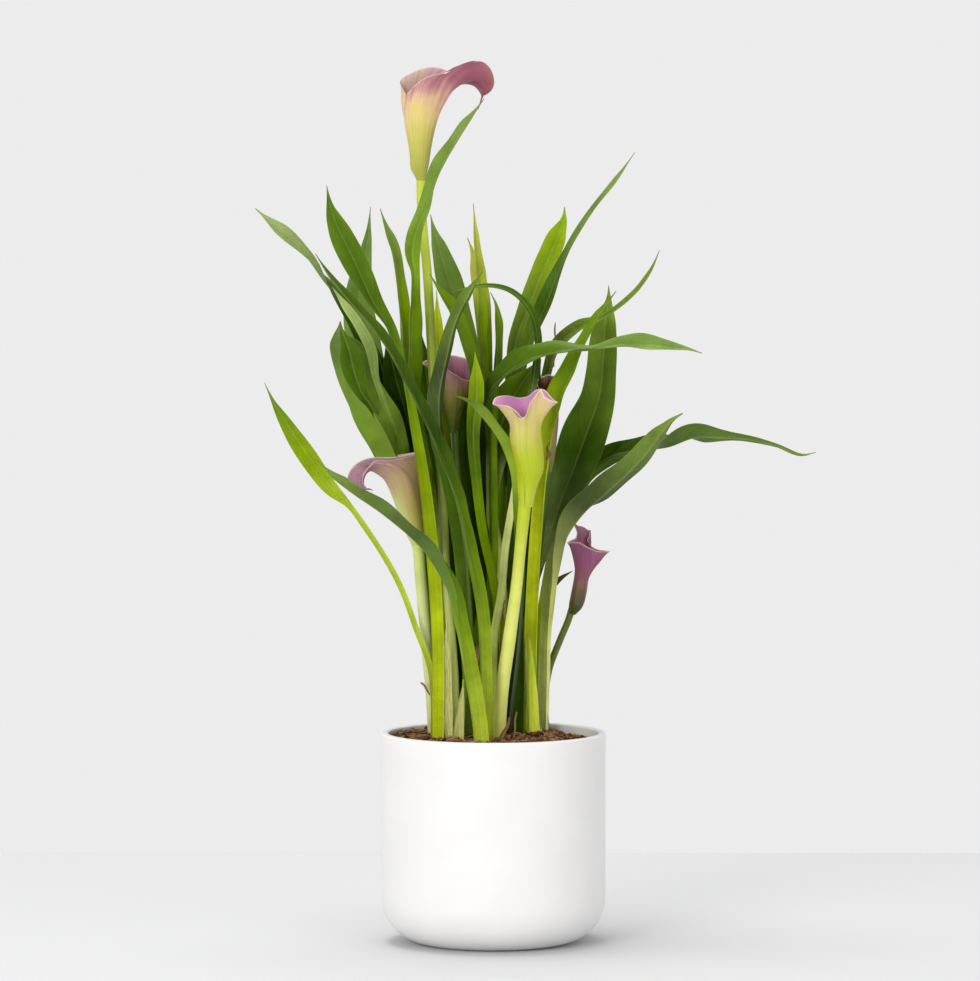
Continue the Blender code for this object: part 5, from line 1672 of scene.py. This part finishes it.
        (-11, -8, 300, 7.5, 0), (-13, -12, 332, 9.5, 0), (-11, -15, 355, 11.5, 0), (-11, -17, 371, 8.5, 0),
        (-12, -18, 383, 1, 0)]),
    "broad_middle": Leaf((Green.SPRING, Green.PALE, Green.SHADE, Green.LEAF), 3, 24, [
        (10, 21, 133, 6, -5), (9, 20, 194, 6, -5), (4, 20, 246, 6.5, -5), (-2, 20, 285, 11, -5),
        (-2, 20, 308, 21.5, -10), (3, 19, 327, 26, -10), (9, 17, 345, 26, -10), (17, 14, 359, 20, -10),
        (24, 13, 369, 10, -10), (29, 12, 376, 1, -10)]),
    "shaded_left": Leaf((Green.DARK_SHADE, Green.DARK_SHADE, Green.BLACK_SHADE, Green.DARK_SHADE), 3, 24, [
        (-22, 30, 131, 5, 5), (-27, 34, 193, 5, 5), (-36, 36, 251, 6, 5), (-49, 36, 304, 9.5, 5),
        (-58, 34, 330, 17, 5), (-65, 33, 349, 15.5, 5), (-71, 32, 364, 13, 5), (-74, 32, 376, 7, 5),
        (-77, 32, 387, 1, 5)]),
    "yellow_strip": Leaf((Green.BLACK_SHADE, Green.DARK_SHADE, Green.BACKLIT, Green.BACKLIT), 2, 20, [
        (-18, 22, 132, 5.5, 40), (-23, 28, 219, 5.5, 40), (-29, 34, 297, 6.5, 45), (-34, 35, 356, 8.5, 20),
        (-35.5, 34, 385, 8, 10), (-36.5, 33, 405, 5.5, 10), (-37, 32, 421, 1, 10)]),
    "small_withered": Leaf((Green.MOSS, Green.MOSS, Green.BROWN, Green.BROWN), 2, 20, [
        (26, 58, 131, 3.5, -30), (31, 60, 177, 3.5, -30), (33, 61, 207, 3, -30), (37, 61, 222, 3, -30),
        (42, 61, 229, 6, -30), (47, 61, 233, 4.5, -30), (52, 61, 236, 1, -30)]),
    "back_left": Leaf((Green.MOSS, Green.MOSS, Green.MOSS, Green.LEAF), 2, 22, [
        (-21, 46, 131, 6, 10), (-31, 52, 191, 6, 10), (-46, 64, 243, 7, 10), (-60, 80, 288, 14.5, 10),
        (-72, 96, 317, 23, 10), (-83, 112, 338, 24.5, 10), (-90, 128, 352, 16, 10),
        (-95, 142, 361, 1.5, 10)]),
    "back_mid_left": Leaf((Green.MOSS, Green.DEEP, Green.DARK_SHADE, Green.DEEP), 2, 22, [
        (-15, 50, 131, 6, 5), (-18, 54, 191, 6, 5), (-22, 64, 243, 7, 5), (-25, 80, 288, 18.5, 5),
        (-28, 98, 320, 24.5, 5), (-30, 118, 343, 18.5, 5), (-30, 136, 356, 10, 5),
        (-31, 150, 364, 1.5, 5)]),
    "back_mid": Leaf((Green.MOSS, Green.DEEP, Green.MOSS, Green.LEAF), 2, 22, [
        (-6, 46, 132, 6, 0), (-3, 52, 191, 6, 0), (1, 64, 243, 7, 0), (6, 82, 288, 20, 0),
        (10, 102, 317, 25.5, 0), (14, 122, 336, 20, 0), (17, 138, 347, 10, 0), (19, 152, 355, 1.5, 0)]),
    "back_right": Leaf((Green.MOSS, Green.DEEP, Green.DEEP, Green.LEAF), 2, 22, [
        (9, 44, 132, 6, -5), (18, 56, 191, 6, -5), (31, 70, 243, 8, -8), (44, 86, 288, 19, -10),
        (55, 102, 317, 23, -10), (63, 118, 336, 19, -10), (69, 132, 348, 10, -10),
        (72, 144, 356, 1.5, -10)]),
}

INNER_LEAVES = {
    "left": Leaf((Green.MOSS, Green.DEEP, Green.MOSS, Green.DEEP), 3, 26, [
        (-21, 24, 131, 9, 20), (-27, 22, 200, 12, 20), (-32, 22, 250, 13, 20), (-36, 24, 300, 14, 15),
        (-41, 26, 345, 13, 10), (-45, 28, 375, 9, 10), (-48, 28, 398, 1, 10)]),
    # Painted shade: a dark sheet behind the left main leaf that stands for its folded half in shade.
    "left_main_shade": Leaf((Green.DARK_SHADE, Green.DARK_SHADE, Green.SHADE, Green.DEEP), 3, 24, [
        (-24, 34, 131, 5, 10), (-32, 36, 220, 6, 10), (-42, 34, 290, 10, 10), (-52, 30, 325, 18, 5),
        (-58, 28, 345, 21, 5), (-63, 27, 362, 19, 5), (-67, 26, 380, 11, 5), (-70, 26, 394, 1, 5)]),
    "mid": Leaf((Green.SPRING, Green.LEAF, Green.DEEP, Green.MOSS), 3, 26, [
        (-9, 12, 131, 9, 15), (-8, 14, 190, 14, 15), (-10, 18, 235, 18, 10), (-16, 23, 290, 15, 10),
        (-17, 26, 325, 14, 5), (-18, 27, 350, 11, 5), (-19, 27, 376, 1, 5)]),
    # Painted shade: a dark sheet in front of the curled leaf's right half that stands for the shaded inside
    # of its curl.
    "curled": Leaf((Green.MOSS, Green.MOSS, Green.MOSS, Green.MOSS), 4, 24, [
        (-30, 26, 131, 5, 5), (-37, 27, 200, 5, 5), (-48, 26, 260, 5, 5), (-60, 22, 305, 5, 5),
        (-72, 14, 332, 5, 5), (-80, -2, 348, 5, 5), (-84.5, -11, 355, 8, 5), (-87.5, -15, 363, 12.5, 5),
        (-90, -19, 372, 16, 5), (-92, -23, 382, 16, 5), (-95, -27, 391, 10.5, 5), (-98, -29, 400, 1, 5)]),
    "strip": Leaf((Green.MOSS, Green.LEAF, Green.GREY_SHEEN, Green.SAGE), 4, 26, [
        (-30, 28, 131, 5, 5), (-44, 27, 240, 5, 5), (-55, 22, 298, 5, 5), (-60, 10, 318, 5, 0),
        (-65.5, -10, 337, 3, -5), (-70, -18, 350, 4, -10), (-75, -23, 366, 5, -15), (-78, -25, 384, 8, -10),
        (-86.5, -23, 400, 7, 5), (-96, -14, 413, 5.5, 15), (-104, -5, 424, 1, 20)]),
    "right": Leaf((Green.GRASS, Green.LEAF, Green.MOSS, Green.MOSS), 3, 26, [
        (6, 20, 131, 8, -10), (4, 22, 190, 8, -10), (5, 26, 250, 8, -10), (9, 30, 300, 10, -5),
        (14, 33, 345, 11, -5), (18, 34, 372, 7, -5), (20, 34, 392, 1, -5)]),
    "back": Leaf((Green.DEEP, Green.DARK_SHADE, Green.SHADE, Green.DEEP), 3, 26, [
        (16, 12, 131, 9, -20), (16, 14, 180, 10, -20), (14, 20, 240, 10, -15), (15, 26, 290, 13, -10),
        (20, 30, 325, 18, -10), (26, 32, 352, 14, -10), (31, 33, 376, 1, -10)]),
}

FLOWERS = {
    "tall": Flower(
        thread=7.0,
        stalk=[(-24.7, -22, 134.3, 6), (-25.4, -20, 171.5, 6), (-28, -15, 209.8, 6), (-31.2, -8, 248, 6),
               (-33.2, 0, 292.7, 6), (-37.8, 6, 344.1, 6), (-40.3, 8, 389.2, 6), (-42.9, 9, 434.3, 6),
               (-46.1, 9, 469.8, 6), (-46.7, 8, 489.7, 6)],
        axis=(0.02, -0.10, 1.0), tip=(1.0, 0.15, 0.0),
        seam=53, lip=90, point=7, spadix=34, over=-1, collar=2.5,
        rim=[(-205, -7.5, -5, 53), (-180, -7, -9, 55), (-150, -6, -14, 59), (-120, 2, -19, 67),
             (-90, 15, -20, 72), (-75, 24, -18, 76.5), (-60, 36, -15, 79.5), (-45, 44, -12, 75.5),
             (-30, 47.5, -8, 67), (-15, 46, -5, 60), (0, 41, -1, 56), (15, 40.5, 2, 56.5),
             (30, 40, 4, 58.5), (60, 35, 7, 63.5), (75, 28.5, 8, 67.5), (90, 20, 8, 72),
             (120, 4, 4, 75), (135, -5, 1, 72), (150, -12.5, -2, 67), (165, -10, -5, 60),
             (180, -7, -8, 55), (205, -5, -12, 54)],
        tube=[(0, 3.1), (4, 3.9), (9, 4.7), (14, 5.1), (20, 5.9), (32, 8.1), (42, 9.6), (52, 11),
              (62, 12.3), (75, 12.5), (96, 9)],
        bends=[(0, 3), (10, 5), (20, 8), (30, 12), (41, 17), (50, 27), (59, 36), (66, 54), (72, 71),
               (77, 88), (82, 112), (88, 145), (93, 175), (104, 205)]),
    "left": Flower(
        thread=4.0,
        stalk=[(-38.6, 11, 131, 8), (-40.5, 9, 162.4, 7.5), (-43, 6, 188.6, 7.5), (-45.8, 1, 221.5, 7.5),
               (-47.7, -2, 244.3, 7.5), (-48.3, -3.5, 254.1, 7.5), (-49.9, -4.5, 261.9, 7.5)],
        axis=(-0.25, -0.12, 0.96), tip=(-1.0, -0.40, 0.0),
        seam=50, lip=74, point=7, spadix=27,
        rim=[(-205, -5, -6, 53), (-180, -2, -1, 54), (-150, -15, 4, 51.5), (-120, -31, 5, 51),
             (-90, -41, 2, 46), (-60, -45, -4, 38), (-30, -41, -8, 34), (0, -31, -12, 31),
             (30, -35, -19, 36), (60, -35, -25, 42.5), (90, -28, -24, 49), (120, -17, -16, 50),
             (150, -7, -8, 52), (180, -1, 0, 54), (205, -13, 5, 52)],
        tube=[(0, 3.9), (5, 4.5), (11, 5.4), (20, 6.4), (30, 7.8), (38, 9.2), (50, 11.5), (75, 11)],
        bends=[(0, 4), (10, 6), (20, 5), (30, 5), (40, 8), (45, 14), (49, 34), (55, 48), (58, 62),
               (63, 100), (68, 145), (74, 190), (80, 235), (86, 250)]),
    "yellow": Flower(
        stalk=[(3.6, -10, 133.7, 8.5), (5.5, -12, 164.3, 8.5), (10, -16, 197, 8.5),
               (14.4, -22, 229.6, 7.5), (17.6, -28, 262.2, 7.5), (20.1, -33, 288.1, 8.5),
               (20.7, -34, 295.8, 8.5)],
        axis=(0.0, -0.10, 1.0), tip=(0.15, 1.0, 0.0),
        seam=64, lip=70, point=0, notch=9, spadix=30, over=-1, collar=-12, turn_out=0.72,
        sway=[(0, 0, 0, 0), (0.15, 0.2, 0, 0), (0.22, 0.9, 0, 0), (0.34, 2.1, 0, 0), (0.43, 1.9, 0, 0),
              (0.52, 1.2, 0, 0), (0.68, -0.4, 0, 0), (0.83, -0.3, 0, 0), (1, 0, 0, 0)],
        rim=[(-205, -9, -14, 52), (-180, -2, -16, 46), (-165, 0.5, -16, 53), (-150, 5, -15, 60),
             (-138, 9, -14, 64), (-122, 12, -13, 59), (-100, 19, -9, 56), (-80, 16, -4, 58),
             (-60, 11, 1, 63), (-40, 6, 5, 63), (-20, 1, 7.5, 59), (0, -3, 9, 58), (30, -10, 8, 59.5),
             (60, -16, 4, 59.5), (85, -19, -1, 58), (105, -20, -6, 55), (130, -14, -11, 54),
             (150, -10, -13, 53), (165, -6, -15, 50), (180, -2, -15, 46), (205, 3, -15, 58)],
        tube=[(0, 4.3), (8, 4.6), (14, 5.8), (22, 7.6), (28, 8.4), (34, 8.8), (45, 9.2), (54, 8.7),
              (62, 10), (74, 12)],
        bends=[(0, 0), (8, 4), (14, 12), (24, 8), (34, 4), (48, 3), (58, 8), (66, 14), (74, 25),
               (82, 30)]),
    "small": Flower(
        thread=8.0,
        stalk=[(34.5, 50, 131.6, 4.5), (33.8, 50, 152, 4.5), (36.4, 50, 171.8, 4.5),
               (43.6, 49, 191.6, 4.5), (49.5, 48, 206.1, 4.5), (51.4, 47.5, 212.7, 4.5)],
        axis=(0.24, -0.05, 0.97), tip=(-0.35, 0.90, 0.0),
        seam=41, lip=52, point=8, spadix=18, turn_out=0.5,
        sway=[(0, 0.8, 0, 0), (0.12, 2, 0, 0), (0.3, 2.4, 0, 0), (0.6, 2, 0, 0), (1, 2.5, 0, 0)],
        rim=[(-205, 5, -13, 45), (-180, 7, -13, 43), (-150, 12, -10, 40), (-130, 17, -7, 38),
             (-110, 24, -4, 38), (-90, 16, 0, 38.5), (-70, 9.5, 3, 42), (-50, 10, 5, 46),
             (-30, 11, 7, 51), (-15, 8, 6, 53), (0, 3, 5, 54), (20, 4, 4, 52), (40, 5, 1, 49),
             (60, 4, -2, 46), (80, 1, -6, 45), (100, -1.5, -10, 44), (120, 0, -12, 45),
             (150, 5, -14, 45), (180, 7, -13, 43), (205, 11, -11, 41)],
        tube=[(0, 2.3), (3, 3.2), (7, 3.7), (15, 3.9), (26, 4.0), (32, 5.2), (38, 7), (44, 8.5), (60, 8)],
        bends=[(0, 0), (5, 8), (10, 10), (20, 6), (34, 4), (46, 2), (56, 0), (64, 0)]),
    "back_mid": Flower(
        stalk=[(-12.6, 4, 133.6, 5), (-16.5, 8, 220.9, 5), (-20.4, 12, 272.6, 5), (-23.6, 14, 311.3, 5),
               (-24.3, 15, 326.8, 5)],
        axis=(0.03, 0.06, 1.0), tip=(-0.1, 1.0, 0.0),
        seam=38, lip=50, point=2, spadix=26, collar=2, turn_out=0.5,
        sway=[(0, -1.5, 0, 0), (0.4, -1.5, 0, 0), (1, 0, 0, 0)],
        rim=[(-205, -4, -7, 43), (-180, -1, -8, 41), (-150, 4, -7, 38), (-120, 9, -4, 37),
             (-90, 10, 0, 43), (-60, 7, 4, 49), (-30, 2, 6, 51), (0, -3, 6, 51.5), (30, -8, 5.5, 51),
             (60, -16, 3, 50), (90, -21, 0, 48), (120, -13, -4, 47), (150, -6, -7, 45),
             (180, -1, -8, 41), (205, 2, -7, 39)],
        tube=[(0, 2.6), (5, 2.9), (10, 4.0), (17, 5.8), (27, 7), (36, 7.4), (62, 8)],
        bends=[(0, 0), (5, 4), (12, 12), (24, 8), (38, 4), (48, 2), (56, 0), (64, 0)]),
    "back_right": Flower(
        stalk=[(21.3, 35, 133.1, 5), (24.5, 36, 192.6, 5), (29, 36, 245, 5), (33.5, 31, 284.4, 5),
               (35.4, 28, 306.7, 5)],
        axis=(0.02, 0.05, 1.0), tip=(-0.3, 0.95, 0.0),
        seam=50, lip=58, point=2, spadix=26, turn_out=0.6,
        rim=[(-205, -2, -6.5, 49), (-180, -0.5, -7, 48.5), (-135, 4, -5, 51), (-90, 6, 0, 55),
             (-45, 4, 5, 58), (0, 0.5, 7, 58.5), (45, -3.5, 5, 57.5), (90, -5.5, 0, 55),
             (135, -4, -5, 51), (180, -0.5, -7, 48.5), (205, 1, -6.5, 49)],
        tube=[(0, 2.6), (5, 3.0), (12, 4.0), (24, 5.0), (38, 5.8), (50, 6.2), (62, 7)],
        bends=[(0, 0), (5, 4), (12, 9), (24, 5), (38, 4), (48, 4), (58, 2)]),
}

SHEATHS = {
    "left": Sheath((-24.6, -21.5), 4.6, -200.0, 60.0, (78, 30, 12, 9, 16, 38, 20, 8)),
    "right": Sheath((25.2, 26.5), 6.2, -175.0, -10.0, (24, 54, 64, 56, 30, 4, 3)),
}

RIBBONS = {
    "split_sheath": Ribbon(
        [(-29, -29, 134, 5, 20), (-29.5, -29, 150, 6, 20), (-29.5, -28, 168, 5, 15),
         (-30, -27, 190, 4, 10), (-30.5, -26, 205, 1, 5)], 50, True),
    "pointed_sheath": Ribbon(
        [(-22, -29, 133, 6.5, -10), (-21.5, -29, 145, 6, -10), (-20.5, -29, 158, 4, -10),
         (-19.5, -29, 168, 1, -10)], 45, True),
    "curl_left": Ribbon(
        [(-47, 0, 168, 1, 0), (-45, -1, 167, 1.6, 30), (-43, -1, 164, 1.8, 50), (-41, 0, 160, 1, 60)], 60),
    "curl_middle": Ribbon(
        [(-11, -18, 178, 2, 0), (-12, -19, 186, 5, 10), (-10, -19, 192, 4, 20), (-8, -18, 194, 1, 40)], 60),
    "arch_streak": Ribbon(
        [(3, -9, 178, 0.8, 20), (4.5, -9, 192, 1.2, 20), (5, -9, 205, 1, 25), (7, -9, 222, 0.8, 25)], 20),
    "scrap_right": Ribbon(
        [(34, -2, 312, 1, 0), (35, -3, 316, 3, 40), (34, -3, 320, 2.5, 80), (36, -2, 324, 1, 90)], 70),
    "brown_fibre": Ribbon(
        [(4, -33, 134, 3, 30), (6, -34, 139, 3, 30), (9, -34, 144, 2, 30), (10, -34, 149, 1, 30)], 60),
    "brown_strand": Ribbon(
        [(13, -22, 134, 1.4, -30), (14, -22, 140, 1.4, -20), (14, -21, 146, 1.2, -10),
         (15, -20, 151, 1, 0)], 50),
    "dried_thread": Ribbon(
        [(39, 29, 371, 1, 0), (39.5, 28, 380, 1, 40), (40.5, 27, 387, 1.6, 80),
         (39.5, 26, 393, 1.6, 60), (40, 26, 400, 0.6, 20)], 60),
}


@dataclass(frozen=True)
class Plant:
    """The clump: leaves, flowers and the dried parts at its base, by short names.

    leaves: Leaves that stand for solids of the frame.
    inner: Smaller leaves between them; two of them are dark sheets, painted shade of the leaves nearby.
    flowers: Flowers with their stalks.
    sheaths: Papery sheaths.
    ribbons: Dried strips and scraps.
    """

    leaves: Mapping[str, Leaf]
    inner: Mapping[str, Leaf]
    flowers: Mapping[str, Flower]
    sheaths: Mapping[str, Sheath]
    ribbons: Mapping[str, Ribbon]

    def build_leaves(self) -> None:
        """Make every leaf."""
        finish = LeafFinish().make()
        for i, (name, leaf) in enumerate(self.leaves.items()):
            item = leaf.surface(SEED + 10 * i).piece(f"leaf_{name}_blade", finish)
            place_piece(item, "leaf", f"leaf_{name}")
        for i, (name, leaf) in enumerate(self.inner.items()):
            place_piece(leaf.surface(SEED + 400 + i).piece(f"inner_{name}_blade", finish), "leaf")

    def build_flowers(self) -> None:
        """Make each flower's stalk, sheet and club."""
        club = ClubFinish().make()
        for i, (name, flower) in enumerate(self.flowers.items()):
            stem, petal = FLOWER_LOOKS[name]
            item = flower.stalk_surface().piece(f"stem_{name}", stem.make())
            place_piece(item, "flower_stalk", f"scape_{name}")
            item = flower.sheet_surface(SEED + 500 + i).piece(f"petal_{name}", petal.make())
            place_piece(item, "spathe", f"spathe_{name}")
            place_piece(flower.club_surface().piece(f"club_{name}", club), "spadix", f"spadix_{name}")

    def build_dried(self) -> None:
        """Make the papery sheaths and the dried strips."""
        paper = DryFinish("papery_leaf_sheath", "D6E43C", "B4C038", 0.50).make()
        for i, (name, sheath) in enumerate(self.sheaths.items()):
            item = sheath.surface(SEED + 700 + i).piece(f"sheath_{name}_paper", paper)
            place_piece(item, "dry_sheath", f"sheath_{name}")
        looks = {
            True: DryFinish("pale_sheath_edge", "BCBE6C", "7E6A54", 0.45).make(),
            False: DryFinish("dried_leaf_strip", "94703E", "4A3220").make()}
        for name, ribbon in self.ribbons.items():
            place_piece(ribbon.surface().piece(f"strip_{name}", looks[ribbon.fresh]), "dry_sheath")

    def build(self) -> None:
        """Make the whole clump."""
        self.build_leaves()
        self.build_flowers()
        self.build_dried()


@dataclass(frozen=True)
class Studio:
    """A pale floor whose far edge shows behind the pot, soft light and the camera.

    lens: Focal length in millimetres on a sensor 36 mm wide.
    place: Place of the camera in metres.
    pitch: How far the camera looks down, in degrees.
    far_edge: Place of the floor's far edge in metres.
    surround: Heights at which the pale walls turn to the dimmer ceiling, and the light of both.
    """

    lens: float = 199.65
    place: tuple[float, float, float] = (-0.00225, -3.5, 0.486)
    pitch: float = 3.167
    far_edge: float = 0.468
    surround: tuple[float, float, float, float] = (0.12, 0.60, 0.84, 0.58)

    def add_camera(self) -> None:
        """Set the camera at the photograph's viewing angle."""
        data = bpy.data.cameras.new("studio_camera")
        data.lens = self.lens
        data.sensor_width = 36.0
        data.sensor_fit = "HORIZONTAL"
        data.clip_end = 50.0
        camera = bpy.data.objects.new("studio_camera", data)
        camera.location = self.place
        camera.rotation_euler = (math.radians(90.0 - self.pitch), 0.0, 0.0)
        bpy.context.scene.collection.objects.link(camera)
        bpy.context.scene.camera = camera

    def add_floor(self) -> None:
        """Lay the floor."""
        wide, far = 6.0, self.far_edge
        mesh = bpy.data.meshes.new("floor")
        corners = [(-wide, -wide, 0.0), (wide, -wide, 0.0), (wide, far, 0.0), (-wide, far, 0.0)]
        mesh.from_pydata(corners, [], [(0, 1, 2, 3)])
        mesh.materials.append(MattFinish("matt_white_table", "CFCFD0").make())
        floor = bpy.data.objects.new("floor", mesh)
        bpy.context.scene.collection.objects.link(floor)

    def add_soft_box(self, name: str, place: Sequence[float], side: float, power: float) -> None:
        """Hang a square soft light that is aimed at the plant.

        Args:
            name: Name of the light.
            place: Its place in metres.
            side: Length of its side in metres.
            power: Its power in watts.
        """
        data = bpy.data.lights.new(name, "AREA")
        data.size = side
        data.energy = power
        box = bpy.data.objects.new(name, data)
        box.location = place
        aim = np.array([0.0, 0.0, 0.3]) - np.array(place)
        box.rotation_euler = (math.acos(-aim[2] / np.linalg.norm(aim)), 0.0,
                              math.atan2(aim[1], aim[0]) - math.pi / 2.0)
        bpy.context.scene.collection.objects.link(box)

    def add_lights(self) -> None:
        """Hang soft lights in front on both sides and overhead, in an even pale surround."""
        self.add_soft_box("front_light", (-1.4, -2.6, 0.9), 1.2, 44.0)
        self.add_soft_box("right_light", (2.2, -2.4, 0.7), 1.6, 19.0)
        self.add_soft_box("top_light", (-0.2, 0.2, 2.3), 1.2, 36.0)
        g = Graph(bpy.data.worlds.new("pale_surround"), "Background")
        low, high, walls, ceiling = self.surround
        height = g.add("SeparateXYZ", {0: g.add("TexCoord", {})["Generated"]})[2]
        light = g.add("MapRange", {"Value": height, "From Min": low, "From Max": high, "To Min": walls,
                                   "To Max": ceiling}, interpolation_type="SMOOTHSTEP")[0]
        bpy.context.scene.world = g.finish({"Color": linear("FFFFFF"), "Strength": light})

    def build(self) -> None:
        """Set up the studio."""
        self.add_camera()
        self.add_floor()
        self.add_lights()
        bpy.context.scene.view_settings.view_transform = "Standard"


def dress_tubers() -> None:
    """Give the tubers under the soil their dry brown skin."""
    skin = EarthFinish("dry_tuber_skin", "4A3220", "7A5A3C", "A8845C", grain=2.0).make()
    for name in ("tuber_1", "tuber_2", "tuber_3"):
        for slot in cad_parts[name].material_slots:
            slot.material = skin


def main() -> None:
    """Build the studio, the pot, the soil and the plant, in that order."""
    logging.basicConfig(level=logging.INFO, format="%(message)s")
    Studio().build()
    Pot().build()
    SoilBed().build()
    dress_tubers()
    Plant(LEAVES, INNER_LEAVES, FLOWERS, SHEATHS, RIBBONS).build()


if __name__ == "__main__":
    main()
